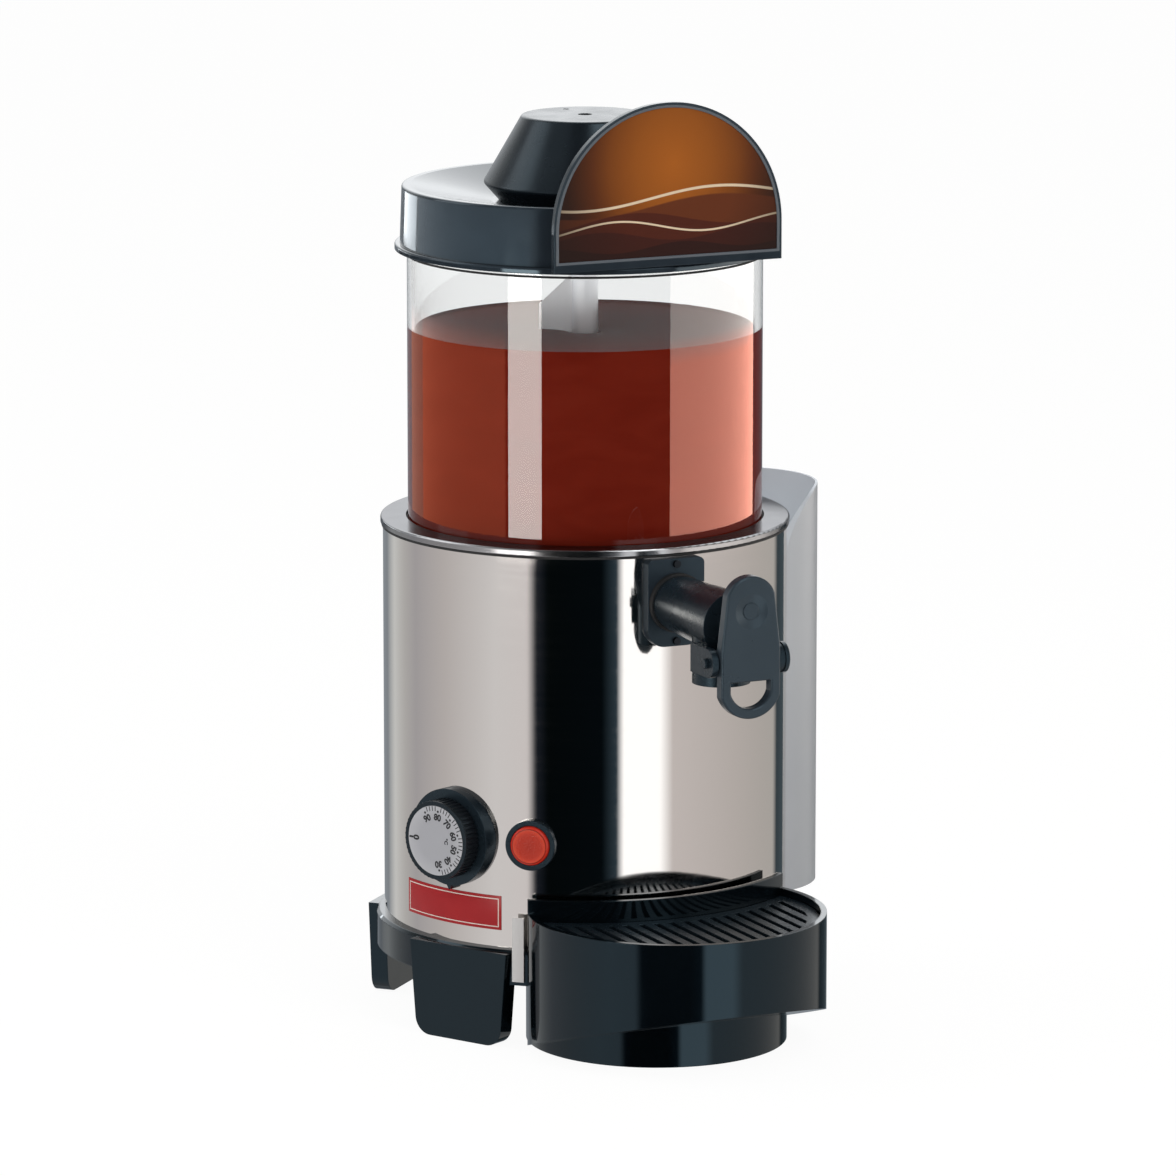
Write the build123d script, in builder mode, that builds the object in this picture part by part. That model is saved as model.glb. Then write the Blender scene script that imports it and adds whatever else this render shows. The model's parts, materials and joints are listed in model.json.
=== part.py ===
from build123d import *
import os
from math import asin, atan2, cos, degrees, radians, sin, sqrt

# Hot drinks dispenser, in millimetres. +Z is up and the tap and the drip tray face -Y. Everything is built
# round the body's axis, from the counter up. Angles round the body start at the front and grow to the right.

# Clearances
running_gap = 0.3
slip_gap = 0.05

# Base moulding
base_overhang = 4.0
base_bottom = 31.0
base_height = 17.0
base_edge = 1.5
upstand_height = 8.0
upstand_wall = 4.0
floor_flange = 11.0
floor_flange_thickness = 3.0
leg_proud = 0.8
leg_thickness = 9.0
leg_width_top = 59.0
leg_width_bottom = 51.0
leg_corner = 9.0
leg_top_drop = 1.0
leg_front_arc = 111.5
leg_rear_angle = 136.0

# Steel jacket and its top ring
body_radius = 100.0
body_top = 247.0
jacket_wall = 0.8
sheet = 1.0
lip_overhang = 1.2
lip_drop = 3.4
lip_round = 1.0
ring_gasket_height = 1.2
ring_flange_drop = 9.0

# Clear tank
tank_setback = 12.4
tank_wall = 3.5
tank_sink = 49.5
tank_exposed = 153.0
tank_corner = 8.0
tank_seal_thickness = 1.0

# Water bath, heater and the column through both vessels
bath_setback = 9.0
bath_headroom = 2.0
bath_corner = 6.0
column_radius = 5.0
column_wall = 1.0
column_sink = 30.0
column_tail = 9.0
column_shoulder_radius = 14.0
column_shoulder_height = 4.0
column_flange_radius = 12.0
column_flange_height = 2.0
tank_washer_height = 2.0
column_nut_width = 20.0
column_nut_height = 6.0
element_radius = 4.0
element_inset = 36.0
element_rise = 12.0
element_bend = 10.0
element_gap_angle = 60.0
element_tail = 14.0
element_nut_width = 14.0
element_nut_height = 5.0

# Stirrer drive
shaft_radius = 3.0
bush_length = 8.0
sleeve_radius = 6.5
sleeve_wall = 1.0
sleeve_floor_gap = 2.5
blade_thickness = 1.5
blade_reach = 22.5
blade_sink = 3.0
blade_taper = 15.0
blade_angle = -115.0
paddle_gap = 8.1
paddle_height = 12.0
paddle_floor_gap = 3.0
cap_radius = 9.0
cap_height = 8.0
coupling_radius = 8.0
coupling_length = 16.0
coupling_gap = 2.0
output_radius = 4.0
gearbox_width = 58.0
gearbox_depth = 44.0
gearbox_height = 24.0
gearbox_round = 6.0
gearbox_boss = 8.5
gearbox_boss_height = 3.0
motor_radius = 25.0
motor_height = 22.0
motor_clearance = 3.0
bracket_sheet = 2.0
bracket_foot = 12.0

# Screws and vents
screw_radius = 1.6
screw_head_radius = 3.0
screw_head_height = 1.6
screw_length = 6.0
jacket_screw_angles = (160.0, 200.0)
vent_inset = 24.9
vent_count = 12
vent_length = 20.0
vent_width = 5.0

# Controls on the jacket
control_height = 101.0
knob_arc = 112.6
knob_radius = 19.5
knob_depth = 9.5
knurl_count = 50
knurl_radius = 0.8
dial_bezel_radius = 24.0
dial_bezel_proud = 4.5
pointer_width = 5.0
pointer_height = 2.2
dial_radius = 17.25
dial_thickness = 1.2
spindle_radius = 3.0
spindle_length = 21.0
thermostat_width = 34.0
thermostat_height = 30.0
thermostat_depth = 24.0
thermostat_bush = 5.0
bulb_radius = 3.0
bulb_length = 40.0
bulb_distance = 50.0
capillary_radius = 0.8
capillary_bend = 8.0
clip_sheet = 1.2
clip_width = 10.0
clip_foot = 7.0
switch_arc = 69.8
switch_bezel_radius = 12.4
switch_barrel_radius = 11.0
switch_barrel_length = 26.0
switch_proud = 3.0
button_radius = 9.6
button_proud = 2.0
button_depth = 10.0
button_travel = 2.5
button_round = 1.5
switch_nut_radius = 14.5
switch_nut_height = 4.0

# Filler pocket on the right side
pocket_radius = 43.6
pocket_inset = 20.1
pocket_sheet = 1.2
pocket_bottom = 55.0
pocket_rise = 10.0
pocket_front_drop = 24.0
pocket_sweep = 22.0
pocket_flange = 13.0
pocket_flange_drop = 20.0
pocket_screw_shares = (0.28, 0.76)
chute_drop = 47.0
chute_slope = 14.0
duct_width = 28.0
duct_height = 10.0

# Cord gland at the back
gland_height = 68.0
gland_width = 20.0
gland_proud = 6.0
gland_barrel = 8.0
gland_barrel_length = 14.0
gland_bore = 4.2
gland_nut_height = 4.0

# Lid, hub and sign
lid_flange_step = 2.6
lid_overlap = 20.0
lid_flange_height = 3.0
lid_drum_step = 3.4
lid_draft = 1.0
lid_rise = 11.6
lid_rim_width = 4.0
lid_skin = 3.0
lid_fit = 1.0
lid_seat_width = 5.5
dish_depth = 8.0
hub_foot_radius = 42.0
hub_radius = 50.0
hub_waist_height = 9.0
hub_top_radius = 31.0
hub_height = 42.0
hub_wall = 3.5
hub_hole = 3.5
hub_vent = 1.5
hub_vent_distance = 22.0
hub_boss = 5.0
hub_vent_angle = 90.0
hub_boss_angle = 30.0
hub_boss_distance = 24.0
hub_screw_length = 14.0
sign_radius = 60.5
sign_height = 79.0
sign_thickness = 3.2
sign_edge = 1.2
sign_sill = 2.4
sign_bezel_width = 1.3
sign_recess = 1.6
sign_panel_thickness = 1.2
sign_pad_width = 56.0
sign_pad_height = 28.0
sign_pad_depth = 10.0
sign_screw_spread = 18.0
sign_screw_drop = 9.0

# Tap
tap_rise = 23.0
neck_radius = 12.0
neck_bore = 9.0
neck_seal_wall = 2.5
neck_seal_length = 6.0
tap_bracket_width = 30.0
tap_bracket_height = 43.0
tap_bracket_thickness = 4.5
tap_bracket_corner = 9.0
bracket_screw_offset = 19.0
bracket_screw_radius = 1.0
bracket_screw_head = 1.8
bracket_screw_length = 8.0
tap_gasket_radius = 14.5
tap_gasket_length = 3.0
barrel_radius = 13.5
barrel_flare = 2.6
barrel_length = 60.5
neck_grip = 10.0
barrel_bore = 9.5
seat_bore = 6.5
seat_length = 4.0
barrel_front_wall = 10.0
spring_pocket = 5.8
spring_pocket_depth = 7.0
spout_radius = 14.0
spout_bore = 10.5
spout_setback = 14.0
spout_drop = 30.0
stem_radius = 3.5
poppet_radius = 8.0
poppet_length = 4.0
seal_length = 2.0
stem_button_radius = 5.5
stem_button_length = 2.6
dome_radius = 10.0
spring_wire = 0.6
spring_turns = 6
spring_steps = 240
pivot_drop = 15.0
pivot_radius = 2.4
pivot_ahead = 10.0
pivot_head_radius = 7.5
pivot_head_length = 2.0
ear_radius = 7.0
ear_thickness = 3.2
ear_gap = 0.5
yoke_depth = 8.0
lever_width = 31.0
lever_top_width = 25.0
lever_rise = 27.0
lever_shoulder_rise = 18.0
lever_hip_drop = 8.0
lever_fall = 42.0
lever_chin_drop = 31.0
lever_ahead = 9.0
lever_thickness = 5.7
lever_hub = 6.0
lever_edge = 1.2
finger_width = 21.0
finger_top_drop = 24.0
finger_bottom_drop = 37.0
finger_straight = 5.0
thumb_radius = 8.5
thumb_depth = 1.4
thumb_rise = 10.0
thumb_boss = 4.0

# Drip tray and grid
tray_ahead = 2.0
tray_radius = 73.0
tray_rim = 68.0
tray_back_rise = 7.0
tray_wall = 3.0
tray_ledge = 3.0
tray_lift = 0.2
tray_skirt_height = 9.5
tray_skirt_slope = 16.6
foot_setback = 23.0
foot_radius = 64.0
foot_headroom = 1.5
grid_drop = 3.5
grid_thickness = 3.0
grid_fit = 0.5
grid_border = 6.0
slot_width = 3.2
slot_pitch = 7.5
slot_count = 17
guide_width = 6.0
guide_gap = 1.6
guide_thickness = 1.2
guide_bottom = 33.0
guide_top = 65.0

# Levels and radii that follow from the sizes above
floor_seat = base_bottom + floor_flange_thickness
floor_top = floor_seat + sheet
drive_height = column_tail + coupling_gap + coupling_length + gearbox_boss_height + bracket_sheet
drive_height += gearbox_height + motor_height
bath_floor = max(
    control_height + thermostat_height / 2 + bath_headroom, floor_top + motor_clearance + drive_height
)
tank_bottom = body_top - tank_sink
tank_rim = body_top + tank_exposed
column_top = tank_rim - column_sink
blade_top = column_top - blade_sink
blade_shoulder = blade_top - blade_taper
pocket_top = body_top + pocket_rise
pocket_front_top = body_top - pocket_front_drop
chute_height = body_top - chute_drop
lid_bottom = tank_rim - lid_overlap
lid_top = tank_rim + lid_rise
tap_height = tank_bottom + tap_rise
spout_bottom = tap_height - spout_drop
pivot_height = tap_height - pivot_drop
ledge = base_bottom + base_height
base_radius = body_radius + base_overhang
leg_face = base_radius + leg_proud
leg_front_angle = degrees(leg_front_arc / base_radius)
knob_angle = -degrees(knob_arc / body_radius)
switch_angle = -degrees(switch_arc / body_radius)
bath_radius = body_radius - bath_setback
tank_radius = body_radius - tank_setback
element_ring = bath_radius - element_inset
pocket_centre = body_radius - pocket_inset
pocket_flange_top = chute_height - pocket_flange_drop
pocket_flange_height = pocket_flange_top - pocket_bottom
tray_centre = base_radius + tray_ahead
foot_centre = tray_centre - foot_setback
jacket_inner = body_radius - jacket_wall
jacket_top = body_top - 2 * sheet
upstand_outer = jacket_inner - running_gap
upstand_inner = upstand_outer - upstand_wall
vent_circle = upstand_inner - vent_inset
floor_screw_circle = upstand_inner - floor_flange / 2
lip_radius = body_radius + lip_overhang
ring_bore = tank_radius + tank_seal_thickness
ring_under = body_top - sheet
lip_bottom = body_top - lip_drop
bath_outer = bath_radius + sheet
bath_inside = bath_floor + sheet
tank_bore = tank_radius - tank_wall
paddle_reach = tank_bore - paddle_gap
tank_floor = tank_bottom + tank_wall
shoulder_top = tank_bottom - tank_washer_height
column_bore = column_radius - column_wall
column_bottom = bath_floor - column_tail
sleeve_bore = sleeve_radius - sleeve_wall
sleeve_top = column_top + sheet
cap_top = sleeve_top + cap_height
coupling_top = column_bottom - coupling_gap
coupling_bottom = coupling_top - coupling_length
coupling_middle = (coupling_top + coupling_bottom) / 2
bracket_top = coupling_bottom - gearbox_boss_height
gearbox_top = bracket_top - bracket_sheet
gearbox_bottom = gearbox_top - gearbox_height
knob_back = body_radius + dial_bezel_proud + running_gap
knob_front = knob_back + knob_depth
neck_end = body_radius + tap_bracket_thickness + tap_gasket_length + neck_grip
barrel_start = body_radius + tap_bracket_thickness + tap_gasket_length
barrel_front = barrel_start + barrel_length
pivot_distance = barrel_front + pivot_ahead
lever_front = pivot_distance + lever_ahead
lever_back = lever_front - lever_thickness
stem_front = lever_back - running_gap
lid_seat = tank_rim + running_gap
lid_bore = tank_radius + lid_fit
lid_flange_top = lid_bottom + lid_flange_height
lid_drum_radius = tank_radius + lid_drum_step
lid_flange_radius = lid_drum_radius + lid_flange_step
lid_top_radius = lid_drum_radius - lid_draft
dish_floor = lid_top - dish_depth
dish_edge = lid_top_radius - lid_rim_width
dish_flat = hub_foot_radius + lid_rim_width
hub_top = dish_floor + hub_height
sign_bottom = lid_flange_top + running_gap
sign_arc_height = sign_bottom + sign_height - sign_radius
sign_back = lid_drum_radius + sheet
sign_front = sign_back + sign_thickness
sign_screw_height = lid_top - sign_screw_drop
tray_back = base_radius + 2 * running_gap
foot_top = base_bottom - foot_headroom
grid_top = tray_rim - grid_drop
tray_step = grid_top - grid_thickness - running_gap
leg_angles = (-leg_front_angle, leg_front_angle, -leg_rear_angle, leg_rear_angle)
jacket_screw_height = ledge + upstand_height / 2
wall_cut = lip_overhang + 6 * jacket_wall
seal_cut = lip_radius - bath_radius + neck_radius / 2
duct_middle = chute_height + duct_height / 2
paddle_bottom = tank_floor + paddle_floor_gap
sleeve_bottom = tank_floor + column_nut_height + sleeve_floor_gap
bracket_reach = gearbox_width / 2 + 2 * bracket_sheet
bracket_height = bracket_top - floor_top
element_height = bath_inside + element_rise
element_bottom = bath_floor - element_tail
element_first = 90 + element_gap_angle / 2
element_sweep = 360 - element_gap_angle
element_half_gap = radians(element_gap_angle / 2)
element_end_x = element_ring * sin(element_half_gap) - element_bend * cos(element_half_gap)
element_end_y = element_ring * cos(element_half_gap) + element_bend * sin(element_half_gap)
element_ends = [(-element_end_x, element_end_y), (element_end_x, element_end_y)]
element_start = (
    -element_ring * sin(element_half_gap),
    element_ring * cos(element_half_gap),
    element_height,
)
pocket_meet = (body_radius**2 - pocket_radius**2 + pocket_centre**2) / (2 * pocket_centre)
pocket_half_width = sqrt(body_radius**2 - pocket_meet**2)
pocket_end = degrees(asin(pocket_half_width / body_radius))
pocket_screw_turn = pocket_end - degrees(0.6 * pocket_flange / body_radius)
pocket_screw_spots = [
    (90 + side * pocket_screw_turn, pocket_bottom + share * pocket_flange_height)
    for side in (-1, 1)
    for share in pocket_screw_shares
]
thermostat_front = sqrt(jacket_inner**2 - (thermostat_width / 2) ** 2) - slip_gap
dial_bezel_front = body_radius + dial_bezel_proud
spindle_end = knob_back + knob_depth / 2
spindle_grip = spindle_length - (spindle_end - dial_bezel_front)
thermostat_back = thermostat_front - thermostat_depth
bulb_height = bath_floor - bulb_radius
duct_mouth = body_radius + jacket_wall / 2
hub_screw_planes = [
    Plane(origin=(spot.position.X, spot.position.Y, dish_floor - lid_skin), z_dir=(0, 0, -1))
    for spot in PolarLocations(hub_boss_distance, 3, start_angle=hub_boss_angle)
]
lid_seat_bore = lid_bore - lid_seat_width
dish_rise = dish_depth / (dish_edge - dish_flat)
dish_under_seat = dish_floor - lid_skin + dish_rise * (lid_seat_bore - dish_flat)
sign_screw_seat = sqrt(lid_seat_bore**2 - (sign_screw_spread + screw_head_radius) ** 2)
sign_screw_length = sign_back + (sign_thickness - sign_recess) / 2 - sign_screw_seat
sign_screw_planes = [
    Plane(
        origin=(side * sign_screw_spread, -sign_screw_seat, sign_screw_height),
        x_dir=(1, 0, 0),
        z_dir=(0, 1, 0),
    )
    for side in (-1, 1)
]
bracket_front = body_radius + tap_bracket_thickness
bracket_screw_planes = [
    Plane(
        origin=(0, -bracket_front, tap_height + side * bracket_screw_offset),
        x_dir=(1, 0, 0),
        z_dir=(0, -1, 0),
    )
    for side in (-1, 1)
]
spout_distance = barrel_front - spout_setback
spout_bore_height = spout_drop - barrel_bore + seat_length / 2
chamber_start = neck_end + seat_length
chamber_length = barrel_front - barrel_front_wall - chamber_start
ear_inner = lever_width / 2 + ear_gap
ear_outer = ear_inner + ear_thickness
dome_height = dome_radius - sqrt(dome_radius**2 - stem_button_radius**2)
dome_turn = degrees(asin(stem_button_radius / dome_radius))
spring_radius = (stem_radius + spring_pocket) / 2
spring_start = barrel_front - spring_pocket_depth + spring_wire
spring_length = stem_front - stem_button_length - spring_wire - spring_start
finger_middle_drop = finger_top_drop + finger_straight
thumb_ball = (thumb_radius**2 + thumb_depth**2) / (2 * thumb_depth)
tray_corner_y = (tray_radius**2 - tray_back**2 - tray_centre**2) / (2 * tray_centre)
tray_corner_x = sqrt(tray_back**2 - tray_corner_y**2)
guide_angle = degrees(atan2(tray_corner_x, -tray_corner_y) + (guide_width / 2 + guide_gap) / base_radius)
switch_nut_front = sqrt(jacket_inner**2 - switch_nut_radius**2) - slip_gap
gland_nut_front = sqrt(jacket_inner**2 - (gland_width / 2) ** 2) - slip_gap


def radial_plane(angle, distance, height):
    """A plane facing outwards, `angle` degrees right of the front, with its own Y upwards."""
    turn = radians(angle)
    outward = Vector(sin(turn), -cos(turn), 0)
    return Plane(
        origin=outward * distance + Vector(0, 0, height),
        x_dir=(cos(turn), sin(turn), 0),
        z_dir=outward,
    )


def turned(*points, rounds=(), mode=Mode.ADD):
    """Turn an outline of (radius, height) points about the upright axis, rounding some corners."""
    with BuildSketch(Plane.XZ) as outline:
        with BuildLine():
            Polyline(*points, close=True)
        make_face()
        for corner, radius in rounds:
            fillet(vertices().sort_by_distance(corner)[0], radius)
    revolve(outline.sketch, axis=Axis.Z, mode=mode)


def tube(inner, outer, bottom, top):
    """An upright tube on the body's axis."""
    turned((inner, bottom), (outer, bottom), (outer, top), (inner, top))


def stud(plane, radius, length, mode=Mode.ADD):
    """A round bar from the plane, outwards, or inwards where the length is negative."""
    with BuildSketch(plane) as section:
        Circle(radius)
    extrude(section.sketch, amount=length, mode=mode)


def screw(plane, length):
    """A pan-head screw whose head stands on the plane and whose shank runs in behind it."""
    stud(plane, screw_head_radius, screw_head_height)
    stud(plane, screw_radius, -length)


# Base: a moulded ring on four flat-faced legs
with BuildPart() as base_moulding:
    for angle in leg_angles:
        with BuildSketch(radial_plane(angle, leg_face, 0)):
            with BuildLine():
                Polyline(
                    (-leg_width_bottom / 2, 0),
                    (leg_width_bottom / 2, 0),
                    (leg_width_top / 2, ledge - leg_top_drop),
                    (-leg_width_top / 2, ledge - leg_top_drop),
                    close=True,
                )
            make_face()
            fillet(vertices().group_by(Axis.Y)[0], leg_corner)
        extrude(amount=-leg_thickness)
    turned(
        (0, floor_seat),
        (upstand_inner, floor_seat),
        (upstand_inner, ledge),
        (0, ledge),
        mode=Mode.SUBTRACT,
    )
    turned(
        (upstand_inner - floor_flange, base_bottom),
        (base_radius, base_bottom),
        (base_radius, ledge - base_edge),
        (base_radius - base_edge, ledge),
        (upstand_outer, ledge),
        (upstand_outer, ledge + upstand_height),
        (upstand_inner, ledge + upstand_height),
        (upstand_inner, floor_seat),
        (upstand_inner - floor_flange, floor_seat),
    )
    with PolarLocations(floor_screw_circle, 4, start_angle=45):
        Cylinder(screw_radius, 3 * ledge, mode=Mode.SUBTRACT)
    for angle in jacket_screw_angles:
        screw_plane = radial_plane(angle, body_radius, jacket_screw_height)
        stud(screw_plane, screw_radius, -screw_length, Mode.SUBTRACT)

with BuildPart() as floor_plate:
    with BuildSketch(Plane.XY.offset(floor_seat)):
        Circle(upstand_inner - running_gap)
        with PolarLocations(floor_screw_circle, 4, start_angle=45):
            Circle(screw_radius, mode=Mode.SUBTRACT)
        with PolarLocations(vent_circle, vent_count):
            SlotOverall(vent_length, vent_width, mode=Mode.SUBTRACT)
    extrude(amount=sheet)

with BuildPart() as floor_screws:
    for spot in PolarLocations(floor_screw_circle, 4, start_angle=45):
        screw(Plane(spot).offset(floor_top), floor_top - base_bottom)

# Body: the mirror steel jacket, its top ring and the dark gasket under the rolled lip
with BuildPart() as body_shell:
    tube(jacket_inner, body_radius, ledge, jacket_top)
    knob_hole = radial_plane(knob_angle, lip_radius, control_height)
    stud(knob_hole, thermostat_bush + slip_gap, -wall_cut, Mode.SUBTRACT)
    switch_hole = radial_plane(switch_angle, lip_radius, control_height)
    stud(switch_hole, switch_barrel_radius + slip_gap, -wall_cut, Mode.SUBTRACT)
    stud(radial_plane(0, lip_radius, tap_height), neck_radius + running_gap, -wall_cut, Mode.SUBTRACT)
    stud(radial_plane(180, lip_radius, gland_height), gland_barrel + slip_gap, -wall_cut, Mode.SUBTRACT)
    for angle in jacket_screw_angles:
        stud(radial_plane(angle, lip_radius, jacket_screw_height), screw_radius, -wall_cut, Mode.SUBTRACT)
    for angle, height in pocket_screw_spots:
        stud(radial_plane(angle, lip_radius, height), screw_radius, -wall_cut, Mode.SUBTRACT)
    for plane in bracket_screw_planes:
        stud(plane, bracket_screw_radius, -bracket_screw_length, Mode.SUBTRACT)
    with BuildSketch(radial_plane(90, lip_radius, duct_middle)):
        Rectangle(duct_width, duct_height)
    extrude(amount=-wall_cut, mode=Mode.SUBTRACT)

with BuildPart() as jacket_screws:
    for angle in jacket_screw_angles:
        screw(radial_plane(angle, body_radius, jacket_screw_height), screw_length)
    for angle, height in pocket_screw_spots:
        screw(radial_plane(angle, body_radius + pocket_sheet, height), screw_length)

with BuildPart() as top_ring:
    turned(
        (ring_bore, body_top),
        (lip_radius, body_top),
        (lip_radius, lip_bottom),
        (body_radius + slip_gap, lip_bottom),
        (body_radius + slip_gap, ring_under),
        (ring_bore + sheet, ring_under),
        (ring_bore + sheet, body_top - ring_flange_drop),
        (ring_bore, body_top - ring_flange_drop),
        rounds=[((lip_radius, body_top), lip_round), ((lip_radius, lip_bottom), lip_round / 2)],
    )

with BuildPart() as ring_gasket:
    tube(body_radius + slip_gap, lip_radius - lip_round / 2, lip_bottom - ring_gasket_height, lip_bottom)

with BuildPart() as tank_seal:
    tube(tank_radius, ring_bore, body_top - ring_flange_drop, ring_under)

# Water bath, its heater and the column that carries the tank
with BuildPart() as water_bath:
    turned(
        (column_radius, bath_floor),
        (bath_outer, bath_floor),
        (bath_outer, jacket_top),
        (body_radius, jacket_top),
        (body_radius, ring_under),
        (bath_radius, ring_under),
        (bath_radius, bath_inside),
        (column_radius, bath_inside),
        rounds=[
            ((bath_outer, bath_floor), bath_corner),
            ((bath_radius, bath_inside), bath_corner - sheet),
        ],
    )
    stud(radial_plane(0, lip_radius, tap_height), neck_radius + neck_seal_wall, -seal_cut, Mode.SUBTRACT)
    with BuildSketch(radial_plane(90, bath_outer + sheet, duct_middle)):
        Rectangle(duct_width, duct_height)
    extrude(amount=-4 * sheet, mode=Mode.SUBTRACT)
    with Locations(*element_ends):
        Cylinder(element_radius, 2 * body_top, mode=Mode.SUBTRACT)

with BuildPart() as heating_element:
    with BuildLine():
        rise = Line((*element_ends[0], element_bottom), (*element_ends[0], element_height - element_bend))
        TangentArc(rise @ 1, element_start, tangent=(0, 0, 1))
        loop = CenterArc((0, 0, element_height), element_ring, element_first, element_sweep)
        drop_start = (*element_ends[1], element_height - element_bend)
        TangentArc(loop @ 1, drop_start, tangent=loop % 1)
        Line(drop_start, (*element_ends[1], element_bottom))
    with BuildSketch(Plane((*element_ends[0], element_bottom))):
        Circle(element_radius)
    sweep()

with BuildPart() as element_nuts:
    with BuildSketch(Plane.XY.offset(bath_floor - element_nut_height)):
        with Locations(*element_ends):
            RegularPolygon(element_nut_width / 2, 6, major_radius=False)
            Circle(element_radius, mode=Mode.SUBTRACT)
    extrude(amount=element_nut_height)

with BuildPart() as centre_column:
    turned(
        (column_bore, column_bottom),
        (column_radius, column_bottom),
        (column_radius, bath_inside),
        (column_flange_radius, bath_inside),
        (column_flange_radius, bath_inside + column_flange_height),
        (column_radius, bath_inside + column_flange_height),
        (column_radius, shoulder_top - column_shoulder_height),
        (column_shoulder_radius, shoulder_top - column_shoulder_height),
        (column_shoulder_radius, shoulder_top),
        (column_radius, shoulder_top),
        (column_radius, column_top),
        (column_bore, column_top),
    )

with BuildPart() as column_nuts:
    for bottom in (bath_floor - column_nut_height, tank_floor):
        with BuildSketch(Plane.XY.offset(bottom)):
            RegularPolygon(column_nut_width / 2, 6, major_radius=False)
            Circle(column_radius, mode=Mode.SUBTRACT)
        extrude(amount=column_nut_height)

with BuildPart() as tank_washer:
    tube(column_radius, column_shoulder_radius, shoulder_top, tank_bottom)

with BuildPart() as tank:
    turned(
        (column_radius + slip_gap, tank_bottom),
        (tank_radius, tank_bottom),
        (tank_radius, tank_rim),
        (tank_bore, tank_rim),
        (tank_bore, tank_floor),
        (column_radius + slip_gap, tank_floor),
        rounds=[
            ((tank_radius, tank_bottom), tank_corner),
            ((tank_bore, tank_floor), tank_corner - tank_wall),
        ],
    )
    stud(radial_plane(0, neck_end, tap_height), neck_radius, tank_radius - tank_wall / 4 - neck_end)
    stud(radial_plane(0, neck_end, tap_height), neck_bore, tank_bore - neck_bore - neck_end, Mode.SUBTRACT)

with BuildPart() as neck_seal:
    with BuildSketch(radial_plane(0, bath_outer + neck_seal_length / 2, tap_height)):
        Circle(neck_radius + neck_seal_wall)
        Circle(neck_radius, mode=Mode.SUBTRACT)
    extrude(amount=-neck_seal_length)

# Stirrer drive: gear motor below, shaft inside the column, sleeve and blades round it
with BuildPart() as motor_bracket:
    with BuildSketch(Plane.XZ.offset(-gearbox_depth / 2)):
        with Locations((0, floor_top)):
            Rectangle(2 * bracket_reach, bracket_height, align=(Align.CENTER, Align.MIN))
            Rectangle(2 * (bracket_reach + bracket_foot), bracket_sheet, align=(Align.CENTER, Align.MIN))
            Rectangle(
                2 * (bracket_reach - bracket_sheet),
                bracket_height - bracket_sheet,
                align=(Align.CENTER, Align.MIN),
                mode=Mode.SUBTRACT,
            )
    extrude(amount=gearbox_depth)
    with Locations((0, 0, bracket_top)):
        Hole(gearbox_boss + slip_gap, 2 * bracket_sheet)

with BuildPart() as gearbox:
    with BuildSketch(Plane.XY.offset(gearbox_bottom)):
        RectangleRounded(gearbox_width, gearbox_depth, gearbox_round)
    extrude(amount=gearbox_height)
    with BuildSketch(Plane.XY.offset(gearbox_top)):
        Circle(gearbox_boss)
    extrude(amount=bracket_sheet + gearbox_boss_height / 2)
    with Locations((0, 0, coupling_bottom)):
        Hole(output_radius + slip_gap, gearbox_height)

with BuildPart() as motor:
    with BuildSketch(Plane.XY.offset(gearbox_bottom - motor_height)):
        Circle(motor_radius)
    extrude(amount=motor_height)
    fillet(motor.edges().group_by(Axis.Z)[0], motor_height / 10)

with BuildPart() as output_shaft:
    tube(0, output_radius, gearbox_top - gearbox_height / 2, coupling_middle)

with BuildPart() as shaft_coupling:
    turned(
        (output_radius, coupling_bottom),
        (coupling_radius, coupling_bottom),
        (coupling_radius, coupling_top),
        (shaft_radius, coupling_top),
        (shaft_radius, coupling_middle),
        (output_radius, coupling_middle),
    )

with BuildPart() as drive_shaft:
    tube(0, shaft_radius, coupling_middle, cap_top - sheet)

with BuildPart() as shaft_bushes:
    for bottom in (column_bottom, column_top - bush_length):
        tube(shaft_radius + slip_gap, column_bore, bottom, bottom + bush_length)

with BuildPart() as drive_cap:
    turned(
        (0, cap_top - sheet),
        (shaft_radius, cap_top - sheet),
        (shaft_radius, sleeve_top),
        (cap_radius, sleeve_top),
        (cap_radius, cap_top),
        (0, cap_top),
        rounds=[((cap_radius, cap_top), cap_height / 3)],
    )

with BuildPart() as stirrer:
    with BuildSketch(radial_plane(blade_angle + 90, 0, 0)):
        with BuildLine():
            Polyline(
                (-column_shoulder_radius, sleeve_bottom),
                (-column_shoulder_radius, paddle_bottom),
                (-paddle_reach, paddle_bottom),
                (-paddle_reach, paddle_bottom + paddle_height),
                (-blade_reach - paddle_height, paddle_bottom + paddle_height),
                (-blade_reach, paddle_bottom + 2 * paddle_height),
                (-blade_reach, blade_shoulder),
                (-sleeve_radius, blade_top),
                (0, blade_top),
                (0, paddle_bottom + 2 * paddle_height),
                (blade_reach, paddle_bottom + paddle_height),
                (paddle_reach, paddle_bottom + paddle_height),
                (paddle_reach, paddle_bottom),
                (column_shoulder_radius, paddle_bottom),
                (column_shoulder_radius, sleeve_bottom),
                close=True,
            )
        make_face()
    extrude(amount=blade_thickness / 2, both=True)
    tube(0, sleeve_radius, sleeve_bottom, sleeve_top)
    turned((0, 0), (sleeve_bore, 0), (sleeve_bore, cap_top), (0, cap_top), mode=Mode.SUBTRACT)

# Thermostat: switch body behind the jacket, bulb under the bath, knurled knob in front
with BuildPart() as thermostat_body:
    with BuildSketch(radial_plane(knob_angle, thermostat_front, control_height)):
        RectangleRounded(thermostat_width, thermostat_height, thermostat_bush / 2)
    extrude(amount=-thermostat_depth)
    stud(
        radial_plane(knob_angle, thermostat_front, control_height),
        thermostat_bush,
        dial_bezel_front - thermostat_front,
    )
    stud(
        radial_plane(knob_angle, dial_bezel_front, control_height),
        spindle_radius + slip_gap,
        -spindle_grip - running_gap,
        Mode.SUBTRACT,
    )

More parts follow.
